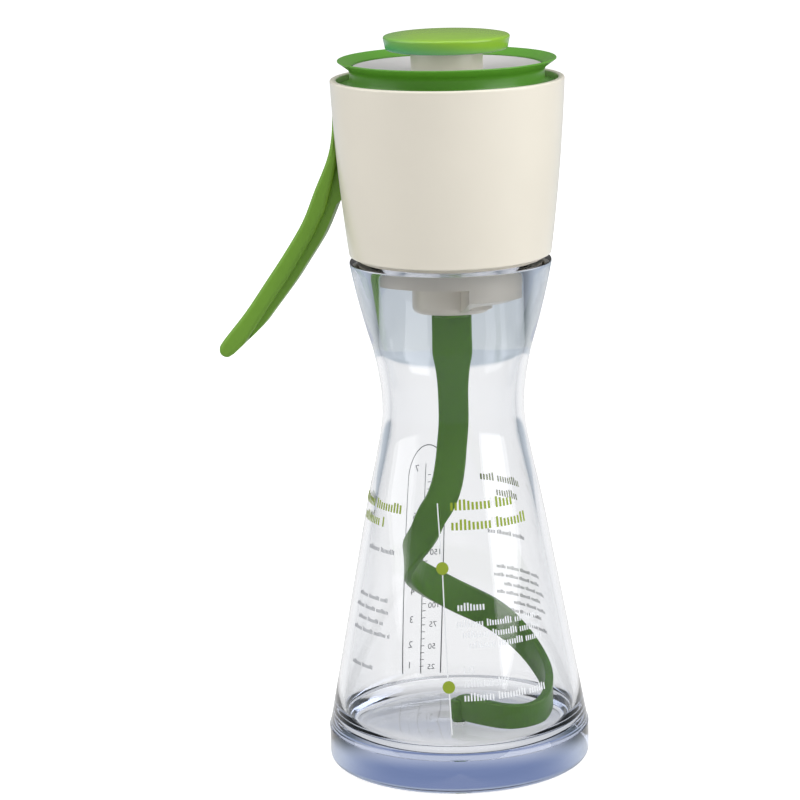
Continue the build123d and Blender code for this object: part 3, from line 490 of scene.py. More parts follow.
# Neck threads: height of the foot and lead, first angle and length in degrees, and section
THREAD_FOOT, THREAD_LEAD = 164.0, 8.0
THREAD_START, THREAD_LENGTH = 40, 170
THREAD_STEPS = 34
THREAD_SECTION = [(-0.1, -1.0), (1.25, -0.5), (1.25, 0.5), (-0.1, 1.0)]


def bottle_wall():
    """The bottle's smooth outer wall."""
    return flowing(BOTTLE_WALL, 5)


class MESH_OT_mixer_bottle(bpy.types.Operator):
    """Turns the clear bottle with its thick foot, waist and threaded neck"""

    bl_idname = "mesh.mixer_bottle"
    bl_label = "Bottle"

    def execute(self, context):
        wall = bottle_wall()
        ridge, shoulder = BOTTLE_WALL[0], BOTTLE_WALL[-1]
        foot = rounded(
            [(0, 0, 0), (BASE_RADIUS, 0, 2.4), (BASE_RADIUS, 10.95, 0.2), (*ridge, 0)]
        )
        neck = rounded(
            [(*shoulder, 0), (shoulder[0], NECK_FOOT, 0.35), (NECK_RADIUS, NECK_FOOT, 1.0),
             (NECK_RADIUS, NECK_TOP, 0.5), (BORE_RADIUS, NECK_TOP, 0.5),
             (BORE_RADIUS, BORE_FOOT, 0)]
        )
        inside = [(r - WALL, z) for r, z in reversed(wall) if INSIDE_FOOT < z < INSIDE_TOP]
        floor = rounded(
            [(36.0, 19.4, 0), (37.65, CAVITY_FLOOR, 7.0), (SOCKET_RADIUS, CAVITY_FLOOR, 0.3),
             (SOCKET_RADIUS, SOCKET_FLOOR, 0.3), (0, SOCKET_FLOOR, 0)]
        )
        bm = bmesh.new()
        turned(bm, foot[:-1] + wall + neck[1:] + inside + floor[1:], closed=False)
        piece = finish_mesh("bottle_shell", bm)
        clear = clear_styrene()
        place(piece, "bottle", clear, "bottle")
        for start in (0, 1):
            turn = math.radians(THREAD_START + 180 * start)
            frames = helix(
                NECK_RADIUS * MM, THREAD_FOOT * MM, THREAD_LEAD * MM, turn,
                math.radians(THREAD_LENGTH), THREAD_STEPS,
            )
            bm = bmesh.new()
            sweep(bm, [
                [at @ Vector((x * MM, 0, z * MM)) for x, z in THREAD_SECTION] for at in frames
            ])
            place(finish_mesh(f"neck_thread_{start + 1}", bm), "bottle", clear)
        return {"FINISHED"}


# Printing: plain strokes, dots, lines and numbers on a flat sheet wrapped round the bottle.
# Across the sheet, SHEET millimetres stand for one radian; up it is the height.
SHEET = 30.0
# Longest straight stretch of a printed line, and the ink's thickness, in millimetres
BEND_STEP = 2.0
FILM = 0.03
# Pitch, width and heights of a row's strokes, as shares of the row's height
STROKE_PITCH, STROKE_WIDTH = 0.4, 0.22
STROKE_HEIGHTS = (0.72, 1.0, 0.72, 0.72, 0.86, 0.72, 1.0, 0.72)
# Strokes in a group, with the room of one stroke between groups
GROUP = 10
# Size of the built-in font over the height of its digits
FONT_SIZE = 1.4


def wall_radius(height):
    """Radius of the bottle's outer wall at a height, both in millimetres."""
    return radius_at(bottle_wall(), height)


def line(bm, start, end, width):
    """A straight line between two places (angle, height), cut finely enough to bend."""
    (a, low), (b, high) = start, end
    stretch = SHEET / wall_radius((low + high) / 2)
    run = Vector((math.radians(b - a) * SHEET / stretch, high - low))
    cuts = max(1, round(run.length / BEND_STEP))
    out = bmesh.ops.create_grid(bm, x_segments=1, y_segments=cuts, size=0.5)
    lean = math.atan2(-run.x, run.y)
    middle = Vector((math.radians((a + b) / 2) * SHEET, (low + high) / 2, 0))
    grow = Matrix.Rotation(lean, 4, "Z") @ Matrix.Diagonal((width, run.length, 1, 1))
    spread = Matrix.Translation(middle) @ Matrix.Diagonal((stretch, 1, 1, 1))
    bmesh.ops.transform(bm, matrix=spread @ grow, verts=out["verts"])


def words(bm, start, end, height, tall):
    """A row of plain upright strokes in word-long groups, from one angle to another."""
    pitch = math.degrees(STROKE_PITCH * tall / wall_radius(height))
    step = 0
    foot = height - tall / 2
    while start + step * pitch < end:
        if step % (GROUP + 1) < GROUP:
            rise = tall * STROKE_HEIGHTS[(step * 3) % len(STROKE_HEIGHTS)]
            at = start + step * pitch
            line(bm, (at, foot), (at, foot + rise), STROKE_WIDTH * tall)
        step += 1


def dot(bm, angle, height, radius):
    """A flat round dot."""
    stretch = SHEET / wall_radius(height)
    centre = Matrix.Translation((math.radians(angle) * SHEET, height, 0))
    bmesh.ops.create_circle(
        bm, cap_ends=True, segments=32, radius=radius,
        matrix=centre @ Matrix.Diagonal((stretch, 1, 1, 1)),
    )


def numeral(bm, text, angle, height, tall):
    """A plain number, centred on its place."""
    curve = bpy.data.curves.new("numeral", "FONT")
    curve.body = text
    curve.size = tall * FONT_SIZE
    curve.align_x = "CENTER"
    curve.align_y = "CENTER"
    helper = bpy.data.objects.new("numeral", curve)
    bpy.context.scene.collection.objects.link(helper)
    bpy.context.view_layer.update()
    depsgraph = bpy.context.evaluated_depsgraph_get()
    mesh = bpy.data.meshes.new_from_object(helper.evaluated_get(depsgraph))
    stretch = Matrix.Diagonal((SHEET / wall_radius(height), 1, 1, 1))
    mesh.transform(Matrix.Translation((math.radians(angle) * SHEET, height, 0)) @ stretch)
    bm.from_mesh(mesh)
    bpy.data.objects.remove(helper)
    bpy.data.curves.remove(curve)
    bpy.data.meshes.remove(mesh)


def ink(name, bm, material):
    """Wraps flat artwork on the bottle as a thin closed film and rides it there."""
    bmesh.ops.recalc_face_normals(bm, faces=bm.faces)
    for face in bm.faces:
        if face.normal.z < 0:
            face.normal_flip()
    out = bmesh.ops.extrude_face_region(bm, geom=bm.faces[:])
    top = [v for v in out["geom"] if isinstance(v, bmesh.types.BMVert)]
    bmesh.ops.translate(bm, verts=top, vec=(0, 0, FILM))
    wall = bottle_wall()
    lift = bpy.context.scene.mixer_sizes.print_height
    for vert in bm.verts:
        turn = vert.co.x / SHEET
        reach = (radius_at(wall, vert.co.y) + vert.co.z) * MM + lift
        vert.co = Vector((reach * math.cos(turn), reach * math.sin(turn), vert.co.y * MM))
    piece = finish_mesh(name, bm)
    place(piece, "bottle", material)


# Rows of print: start angle and end angle in degrees, height, height of the strokes
GREEN_ROWS = [
    (276.5, 319.0, 87.3, 3.2), (277.0, 329.0, 81.4, 3.2), (189.0, 241.5, 85.0, 3.0),
    (199.0, 228.0, 80.0, 3.0), (43.5, 80.5, 84.0, 2.8), (49.0, 68.0, 79.0, 2.8),
]
WHITE_ROWS = [
    (279.6, 293.8, 57.0, 2.4), (279.0, 328.5, 52.0, 2.1), (282.0, 328.0, 48.8, 2.1),
    (285.5, 326.5, 45.6, 2.1), (282.2, 304.5, 34.2, 2.4), (282.0, 324.0, 30.0, 2.4),
]
GREY_ROWS = [
    (215.0, 240.0, 71.7, 1.5), (212.0, 238.0, 57.0, 1.3), (210.0, 240.0, 53.5, 1.3),
    (214.0, 236.0, 50.0, 1.3), (211.0, 241.0, 46.5, 1.3), (215.0, 232.0, 36.0, 1.3),
    (48.0, 78.0, 65.0, 1.5), (38.0, 74.0, 53.0, 1.3), (40.0, 76.0, 50.0, 1.3),
    (36.0, 70.0, 47.0, 1.3), (42.0, 75.0, 44.0, 1.3), (38.0, 66.0, 41.0, 1.3),
    (44.0, 76.0, 38.0, 1.3), (40.0, 72.0, 34.0, 1.3),
]
# Printed lines: start (angle, height), end (angle, height), width
LEADER_LINES = [
    ((267.1, 87.8), (270.5, 70.6), 0.4),
    ((271.0, 66.5), (274.0, 35.2), 0.4),
    ((274.6, 31.1), (275.7, 18.8), 0.4),
]
SCALE_LINES = [
    ((136.0, 86.0), (128.2, 15.1), 0.35),
    ((121.3, 88.5), (118.2, 14.1), 0.3),
    ((106.0, 85.0), (108.0, 13.5), 0.35),
]
# Printed dots: angle, height, radius
LEADER_DOTS = [(270.8, 68.5, 1.9), (274.3, 33.1, 1.9)]
# Printed numbers: text, angle, height, height of the digits
LEADER_FRACTION = ("1/3", 284.0, 38.0, 2.2)
SCALE_NUMBERS = [
    ("7", 128.8, 87.2, 2.4), ("6", 127.5, 70.7, 2.4), ("5", 126.4, 57.4, 2.4),
    ("4", 125.5, 44.4, 2.4), ("3", 125.1, 34.4, 2.4), ("2", 124.7, 25.5, 2.4),
    ("1", 124.6, 18.0, 2.4), ("200", 111.0, 76.0, 2.0), ("150", 111.7, 57.3, 2.0),
    ("100", 112.1, 38.6, 2.0), ("75", 112.4, 31.8, 2.0), ("50", 112.7, 23.9, 2.0),
    ("25", 112.9, 16.3, 2.0),
]
# The scale's round top: angle of its middle and half its breadth, foot and rise
ARCH_MIDDLE, ARCH_HALF = 121.0, 15.0
ARCH_FOOT, ARCH_RISE = 85.5, 9.6
ARCH_STEPS = 16
ARCH_WIDTH = 0.35
# The scale's short marks: both ends' angles, height of the lowest, pitch, count and width
MARK_START, MARK_END = 119.0, 116.8
MARK_FOOT, MARK_PITCH, MARKS = 17.0, 2.5, 28
MARK_WIDTH = 0.25


class MESH_OT_mixer_print(bpy.types.Operator):
    """Prints the scale, headings, notes, leader line and dots on the bottle"""

    bl_idname = "mesh.mixer_print"
    bl_label = "Printing"

    def execute(self, context):
        colours = context.scene.mixer_colours
        green = printed_ink("green_screen_ink", colours.ink_green)
        white = printed_ink("white_screen_ink", colours.ink_white)
        grey = printed_ink("grey_screen_ink", colours.ink_grey)
        for name, rows, material in (
            ("heading_print", GREEN_ROWS, green),
            ("note_print", WHITE_ROWS, white),
            ("side_print", GREY_ROWS, grey),
        ):
            bm = bmesh.new()
            for row in rows:
                words(bm, *row)
            ink(name, bm, material)
        self.draw_leader(green, white)
        self.draw_scale(grey)
        return {"FINISHED"}

    def draw_leader(self, green, white):
        """The thin leaning leader line with its two dots, and a plain fraction."""
        bm = bmesh.new()
        for stretch in LEADER_LINES:
            line(bm, *stretch)
        numeral(bm, *LEADER_FRACTION)
        ink("leader_print", bm, white)
        bm = bmesh.new()
        for spot in LEADER_DOTS:
            dot(bm, *spot)
        ink("leader_dots", bm, green)

    def draw_scale(self, grey):
        """The volume scale: a long panel with a round top, a middle line and plain numbers."""
        bm = bmesh.new()
        for stretch in SCALE_LINES:
            line(bm, *stretch)
        arch = []
        for step in range(ARCH_STEPS + 1):
            turn = math.pi * step / ARCH_STEPS
            angle = ARCH_MIDDLE - ARCH_HALF * math.cos(turn)
            arch.append((angle, ARCH_FOOT + ARCH_RISE * math.sin(turn)))
        for start, end in zip(arch, arch[1:]):
            line(bm, start, end, ARCH_WIDTH)
        for number in SCALE_NUMBERS:
            numeral(bm, *number)
        for step in range(MARKS):
            height = MARK_FOOT + MARK_PITCH * step
            line(bm, (MARK_START, height), (MARK_END, height), MARK_WIDTH)
        ink("scale_print", bm, grey)


# Head

# One side of the lever's slot in the cover: (place across, height)
SLOT_SIDE = [(-6.9, 205.6), (-6.9, 167.0), (-4.4, 167.0), (-4.4, 162.5)]
SLOT_START, SLOT_DEPTH = -45, 25


class MESH_OT_mixer_cover(bpy.types.Operator):
    """Turns the cream cover with its ledges and cuts the lever's slot"""

    bl_idname = "mesh.mixer_cover"
    bl_label = "Cover"

    def execute(self, context):
        colours = context.scene.mixer_colours
        side = flowing(
            [(30.85, 160.4), (31.56, 166.0), (32.34, 173.0), (33.05, 180.0), (33.6, 186.0),
             (34.17, 193.0), (34.66, 200.0), (35.03, 206.0), (35.35, 212.4)], 3
        )
        rim = rounded(
            [(35.35, 212.4, 0), (35.4, 213.4, 0.6), (33.4, 213.4, 0.6), (33.25, 209.5, 0)]
        )
        ledges = [
            (33.2, 209.0), (31.9, 209.0), (31.9, 207.0), (33.08, 207.0), (32.66, 200.0),
            (32.17, 193.0), (31.85, 189.0), (30.6, 189.0), (30.6, 187.0), (31.7, 187.0),
            (31.05, 180.0), (30.34, 173.0), (29.56, 166.0),
        ]
        foot = rounded(
            [(28.9, 160.6, 0), (28.8, 159.8, 0.4), (30.8, 159.8, 0.6), (30.85, 160.4, 0)]
        )
        piece = turned_piece("cover_shell", side + rim[1:] + ledges + foot[:-1])
        bm = bmesh.new()
        corners = SLOT_SIDE + [(-x, z) for x, z in reversed(SLOT_SIDE)]
        verts = [bm.verts.new((SLOT_START * MM, x * MM, z * MM)) for x, z in corners]
        out = bmesh.ops.extrude_face_region(bm, geom=[bm.faces.new(verts)])
        moved = [v for v in out["geom"] if isinstance(v, bmesh.types.BMVert)]
        bmesh.ops.translate(bm, verts=moved, vec=(SLOT_DEPTH * MM, 0, 0))
        combine(piece, finish_mesh("slot", bm), "DIFFERENCE")
        # Moulded ABS: an even warm cream under a thin bright skin
        cream = moulded("cream_abs_moulded", colours.cream, 0.3, coat=0.2)
        place(piece, "head", cream, "cover")
        return {"FINISHED"}


class MESH_OT_mixer_pour_ring(bpy.types.Operator):
    """Turns the green pour ring and the white dish inside it"""

    bl_idname = "mesh.mixer_pour_ring"
    bl_label = "Pour ring and dish"

    def execute(self, context):
        colours = context.scene.mixer_colours
        outline = rounded(
            [(28.8, 213.0, 0), (28.8, 210.8, 0.2), (24.6, 210.8, 0.3), (24.6, 209.0, 0.3),
             (33.15, 209.0, 0.3), (33.15, 211.6, 0.5), (29.45, 211.9, 1.8), (29.45, 216.2, 1.8),
             (33.0, 218.75, 0.15), (33.0, 219.3, 0.25), (28.8, 217.3, 0.3), (28.8, 213.0, 0)]
        )
        ring = turned_piece("pour_ring_shell", outline[:-1])
        # Moulded polypropylene: a waxy green, with a soft highlight round the lip
        green = moulded("green_polypropylene_moulded", colours.ring_green, 0.32, 1.49, coat=0.1)
        place(ring, "head", green, "pour_ring")
        dish = rounded(
            [(12.4, 212.1, 0), (12.4, 213.0, 0.35), (19.6, 213.0, 2.0), (28.7, 217.1, 0.3),
             (28.7, 210.9, 0.2), (26.7, 210.9, 0.2), (26.7, 214.2, 0.3), (21.8, 212.1, 0.4),
             (21.8, 203.75, 0), (20.6, 203.75, 0), (20.6, 202.25, 0), (21.8, 202.25, 0),
             (21.8, 199.0, 0.3), (19.4, 199.0, 0.3), (19.4, 211.2, 0.4), (12.4, 211.2, 0.3),
             (12.4, 212.1, 0)], 4
        )
        basin = turned_piece("dish_shell", dish[:-1])
        # Moulded ABS: a plain cool white, smooth where dressing runs
        white = moulded("white_abs_moulded", colours.white, 0.28, coat=0.2)
        place(basin, "head", white, "pour_basin")
        return {"FINISHED"}


class MESH_OT_mixer_stopper(bpy.types.Operator):
    """Turns the lime cap and the cream stem of the push-pull stopper"""

    bl_idname = "mesh.mixer_stopper"
    bl_label = "Stopper"

    def execute(self, context):
        colours = context.scene.mixer_colours
        dome = flowing(
            [(18.2, 226.22), (16.0, 226.55), (9.6, 227.1), (4.0, 227.35), (0.0, 227.4)], 5
        )
        side = rounded(
            [(0, 223.2, 0), (11.0, 223.2, 0.2), (11.0, 221.9, 0.2), (14.3, 221.9, 0.1),
             (14.3, 223.6, 0), (16.7, 223.6, 0), (16.7, 221.9, 0.1), (18.4, 221.9, 0.9),
             (19.2, 226.0, 0.7), (18.2, 226.22, 0)], 6
        )
        cap = turned_piece("cap_shell", side[:-1] + dome, closed=False)
        # Polished polypropylene: bright lime with clear highlights on the dome, and a painted
        # blue-green sheen low on its left
        lime = moulded(
            "lime_polypropylene_moulded", colours.lime, 0.24, 1.49, coat=0.3, painted_sheen=colours.cap_painted_sheen
        )
        place(cap, "stopper", lime, "stopper_cap")
        skirt = rounded(
            [(0, 223.1, 0), (10.9, 223.1, 0.3), (10.9, 201.15, 0.4), (9.2, 201.15, 0.4),
             (9.2, 220.5, 0.6), (3.0, 220.5, 0.6), (3.0, 203.45, 0), (2.2, 203.45, 0),
             (2.2, 202.45, 0), (3.0, 202.45, 0), (3.0, 200.55, 0.4), (0, 200.55, 0)], 4
        )
        stem = turned_piece("stem_shell", skirt, closed=False)
        place(stem, "stopper", bpy.data.materials["cream_abs_moulded"], "stopper_stem")
        return {"FINISHED"}


LEVER_WIDTH, RIB_WIDTH = 13.0, 7.6
# Lever, in its upright plane: (distance from the axis, height)
LEVER_BACK = [
    (34.4, 204.6), (34.9, 196.0), (36.6, 188.7), (40.6, 179.4), (44.5, 170.0), (50.2, 160.6),
    (56.6, 151.2), (63.2, 141.7), (70.5, 132.6), (71.8, 130.0), (71.2, 128.1), (69.3, 127.4),
    (67.4, 128.4),
]
LEVER_FRONT = [
    (63.9, 131.7), (60.3, 136.8), (56.9, 141.8), (53.5, 146.7), (50.2, 151.4), (47.2, 156.1),
    (44.3, 160.8), (41.4, 165.5), (39.1, 170.2), (36.9, 175.2), (33.1, 190.0), (31.6, 204.2),
]
RIB_FRONT = [
    (63.0, 132.5), (58.3, 137.2), (54.6, 142.0), (51.0, 146.7), (47.5, 151.4), (44.4, 156.1),
    (41.3, 160.8), (38.4, 165.5), (36.2, 170.2), (34.2, 175.0),
]
WEB = [
    (31.2, 177.9), (29.3, 178.0), (27.6, 178.6), (26.75, 180.0), (26.9, 182.0), (26.9, 194.8),
    (24.9, 198.9), (24.2, 201.0), (25.2, 203.4), (27.5, 204.3), (34.0, 204.2), (34.8, 190.0),
    (38.4, 176.0), (46.0, 160.8), (54.0, 149.0),
]


class MESH_OT_mixer_lever(bpy.types.Operator):
    """Shapes the green squeeze lever: a rounded handle with a narrower rib and web"""

    bl_idname = "mesh.mixer_lever"
    bl_label = "Lever"

    def execute(self, context):
        colours, sizes = context.scene.mixer_colours, context.scene.mixer_sizes
        bm = bmesh.new()
        outline = flowing(LEVER_BACK, 4) + flowing(LEVER_FRONT, 4)
        slab(bm, [(-x, z) for x, z in outline], LEVER_WIDTH * MM, sizes.lever_edge, 5)
        handle = finish_mesh("lever_handle", bm)
        bm = bmesh.new()
        outline = flowing(RIB_FRONT, 4) + WEB
        slab(bm, [(-x, z) for x, z in outline], RIB_WIDTH * MM, sizes.rib_edge, 3)
        rib = finish_mesh("lever_rib", bm)
        combine(handle, rib, "UNION")
        # Grained polypropylene: nearly matt, for a dry grip
        green = moulded("lever_polypropylene_moulded", colours.lever_green, 0.42, 1.49)
        place(handle, "lever", green, "lever")
        return {"FINISHED"}


# Half the paddle strip's thickness
RIBBON_HALF = 1.35
# Paddle's middle line: (angle, radius, height, the way its face looks, breadth)
RIBBON = [
    (279, 0, 143.4, 279, 12), (279, 0, 137.5, 279, 12), (279, 0, 131.5, 279, 12),
    (279, 0, 125, 279, 10.6), (279, 0, 118, 279, 9.4), (279, 0.85, 108, 279, 9.2),
    (259.7, 2.1, 100, 279, 9.2), (258.6, 3.7, 94.6, 279, 9.3), (255.4, 6.0, 88.9, 279, 9.4),
    (246.8, 8.3, 83.6, 279, 9.4), (237, 10.7, 79.3, 276, 9.3), (228, 12.5, 73.7, 252, 9),
    (208.4, 14.6, 66.8, 217, 9), (184.8, 14.8, 60.6, 182, 9), (142.7, 15.4, 53.9, 154, 9.6),
    (102, 19.2, 46, 124, 10), (69.8, 25.0, 38.2, 89, 9.8), (46.3, 27.2, 31, 55, 9.2),
    (21.8, 28.1, 24.3, 27, 9), (4.8, 28.2, 19.2, 1, 9), (-10.8, 27.2, 16.3, -26, 9),
    (-23, 24.4, 15.35, -62, 8.9), (-32.8, 18.8, 15.35, -100, 8.9), (-37, 11.1, 15.35, -121, 8.9),
    (-38, 3.7, 15.35, -127, 8.9), (-38, 0.6, 14.6, -127, 7.4),
]


def ribbon_frames():
    """Places across the paddle strip: a matrix and a breadth at each step of its length."""
    rows = [
        (r * math.cos(math.radians(a)), r * math.sin(math.radians(a)), z, facing, breadth)
        for a, r, z, facing, breadth in RIBBON
    ]
    line = flowing(rows, 6)
    frames = []
    for i, (x, y, z, facing, breadth) in enumerate(line):
        here = Vector((x, y, z))
        before = Vector(line[max(i - 1, 0)][:3])
        after = Vector(line[min(i + 1, len(line) - 1)][:3])
        along = (after - before).normalized()
        out = Vector((math.cos(math.radians(facing)), math.sin(math.radians(facing)), 0))
        out = (out - along * out.dot(along)).normalized()
        across = along.cross(out)
        matrix = Matrix((out, across, along)).transposed().to_4x4()
        frames.append((Matrix.Translation(here * MM) @ matrix, breadth * MM))
    return frames


class MESH_OT_mixer_paddle(bpy.types.Operator):
    """Sweeps the spiral paddle from its hub under the neck to its pivot in the base"""

    bl_idname = "mesh.mixer_paddle"
    bl_label = "Spiral paddle"

    def execute(self, context):
        colours, sizes = context.scene.mixer_colours, context.scene.mixer_sizes
        half = RIBBON_HALF * MM
        edge = sizes.ribbon_edge
        section = []
        for sx, sy, first in ((1, -1, -90), (1, 1, 0), (-1, 1, 90), (-1, -1, 180)):
            for turn in (0, 22.5, 45, 67.5, 90):
                angle = math.radians(first + turn)
                section.append((sx, sy, edge * math.cos(angle), edge * math.sin(angle)))
        bm = bmesh.new()
        sweep(bm, [
            [matrix @ Vector((sx * (half - edge) + c, sy * (breadth / 2 - edge) + s, 0))
             for sx, sy, c, s in section]
            for matrix, breadth in ribbon_frames()
        ])
        strip = finish_mesh("paddle_strip", bm)
        # Moulded polypropylene: a dark green, with broad highlights along its bend
        green = moulded("paddle_polypropylene_moulded", colours.paddle_green, 0.36, 1.49, coat=0.1)
        place(strip, "agitator", green, "agitator")
        hub = [
            (0, 142.8, 0), (5.4, 142.8, 0.6), (5.4, 150.4, 0.4), (2.5, 150.4, 0), (2.5, 146.0, 0),
            (0, 146.0, 0),
        ]
        foot = [
            (0, 4.8, 0), (2.1, 4.8, 0.5), (2.1, 10.9, 0), (2.7, 10.9, 0.3), (2.7, 17.6, 0.8),
            (0, 17.6, 0),
        ]
        for name, corners in (("paddle_hub", hub), ("paddle_foot", foot)):
            place(turned_piece(name, rounded(corners), closed=False), "agitator", green)
        return {"FINISHED"}


# Return spring: its left end, height, coil radius, pitch, turns and wire radius
SPRING_START, SPRING_LEVEL = -23.55, 179.5
COIL_RADIUS, COIL_PITCH, COIL_TURNS = 1.9, 1.325, 8
WIRE_RADIUS = 0.35


class MESH_OT_mixer_inside(bpy.types.Operator):
    """Finishes the chassis, gears, shaft, seals and fasteners, which keep their own shape"""

    bl_idname = "mesh.mixer_inside"
    bl_label = "Works inside the head"

    def execute(self, context):
        colours = context.scene.mixer_colours
        cream = bpy.data.materials["cream_abs_moulded"]
        # Natural acetal: milky and slightly dull
        acetal = moulded("natural_acetal_moulded", colours.gear_white, 0.42, 1.48)
        # Silicone: soft, dull and faintly cloudy
        silicone = moulded("clear_silicone_moulded", colours.rubber, 0.5, 1.41, subsurface=0.2)
        steel = drawn_steel("stainless_steel_drawn", colours.steel)
        dress(cream, "chassis", "pour_duct", "deck")
        dress(acetal, "shaft_bush", "drive_pinion", "step_gear", "rack")
        dress(silicone, "neck_gasket", "shaft_seal", "basin_seal", "stopper_seal", "guide_ring")
        dress(steel, "housing_screws", "shaft_clip", "drive_shaft", "gear_post", "lever_pin")
        self.wind_spring(steel)
        return {"FINISHED"}

    def wind_spring(self, steel):
        """The rack's return spring: eight turns of wire, built at rest; on the real mixer they
        shorten as the lever is squeezed.
        """
        level = SPRING_LEVEL * MM
        end = Matrix.Translation((SPRING_START * MM, 0, level))
        lie = end @ Matrix.Rotation(math.pi / 2, 4, "Y")
        frames = helix(
            COIL_RADIUS * MM, 0, COIL_PITCH * MM, 0, COIL_TURNS * 2 * math.pi, COIL_TURNS * 32
        )
        wire = WIRE_RADIUS * MM
        section = [
            (wire * math.cos(math.radians(a)), wire * math.sin(math.radians(a)))
            for a in range(0, 360, 45)
        ]
        bm = bmesh.new()
        sweep(bm, [[lie @ at @ Vector((x, 0, z)) for x, z in section] for at in frames])
        spring = finish_mesh("return_spring_wire", bm, smooth_angle=60)
        place(spring, "head", steel, "return_spring")
        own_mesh(spring)


# Stage

# The photograph's camera: degrees off the front, pitched down, and rolled
AZIMUTH = math.radians(9)
PITCH = math.radians(12.8)
ROLL = math.radians(1.1)
# The sensor's width in millimetres, and the photograph's width and shift in pixels
SENSOR = 36.0
PHOTO_WIDTH = 800
PHOTO_SHIFT = -53.2
# The way from the camera to the bottle, along the floor
BACK = (-math.sin(AZIMUTH), math.cos(AZIMUTH), 0.0)
# The floor's half breadth, and how far it lies under the bottle so that they don't touch
FLOOR_HALF = 3.0
FLOOR_DROP = 0.0002
# How white the floor itself shows, beside the light that falls on it
FLOOR_GLOW = 0.72
# What the clear plastic shows of the floor, beside the bottle and behind it
NEAR_FLOOR = ((0.32, 0.36, 0.4), (1, 1, 1))
FAR_FLOOR = ((0.2, 0.22, 0.24), (0.55, 0.61, 0.67))
# Distances from the bottle between which the near floor's tones turn to the far one's
FLOOR_FADE = (0.58, 0.7)
# The near floor's tones spread from a point this far in front of the bottle
NEAR_AHEAD = 0.06
# Cosines with straight back between which tones change, behind the bottle and in front
BACK_FADE = (0.45, 0.92)
FRONT_FADE = (-0.2, -0.6)
# What the clear plastic shows of the room: at the horizon, a little above it and high up
ROOM_BEHIND = ((0.64, 0.69, 0.72), (0.33, 0.4, 0.59), (1, 1, 1))
ROOM_BESIDE = ((0.06, 0.09, 0.09), (0.85, 0.9, 0.95), (0.1, 0.13, 0.14))
ROOM_IN_FRONT = (0.28, 0.31, 0.33)
# Heights of a direction between which one tone of the room turns to the next
ROOM_STEPS = ((0.1, 0.16), (0.28, 0.45))
# The room's strength as light on matt faces, and as a mirror image
ROOM_LIGHT = 0.45
ROOM_MIRROR = 0.2
# A ray's count of matt faces is above this once it has left one
BOUNCED = 0.5
# Softboxes: name, place, aim, width, power in watts, and their height over their width
SOFTBOXES = (
    ("key_softbox", (1.15, -0.35, 0.8), (0, 0, 0.13), 1.2, 15.0),
    ("fill_softbox", (-1.15, -0.35, 0.8), (0, 0, 0.13), 1.2, 8.0),
    ("top_softbox", (-0.1, -0.1, 1.1), (0, 0, 0.1), 0.7, 5.0),
)
SOFTBOX_SHAPE = 1.4


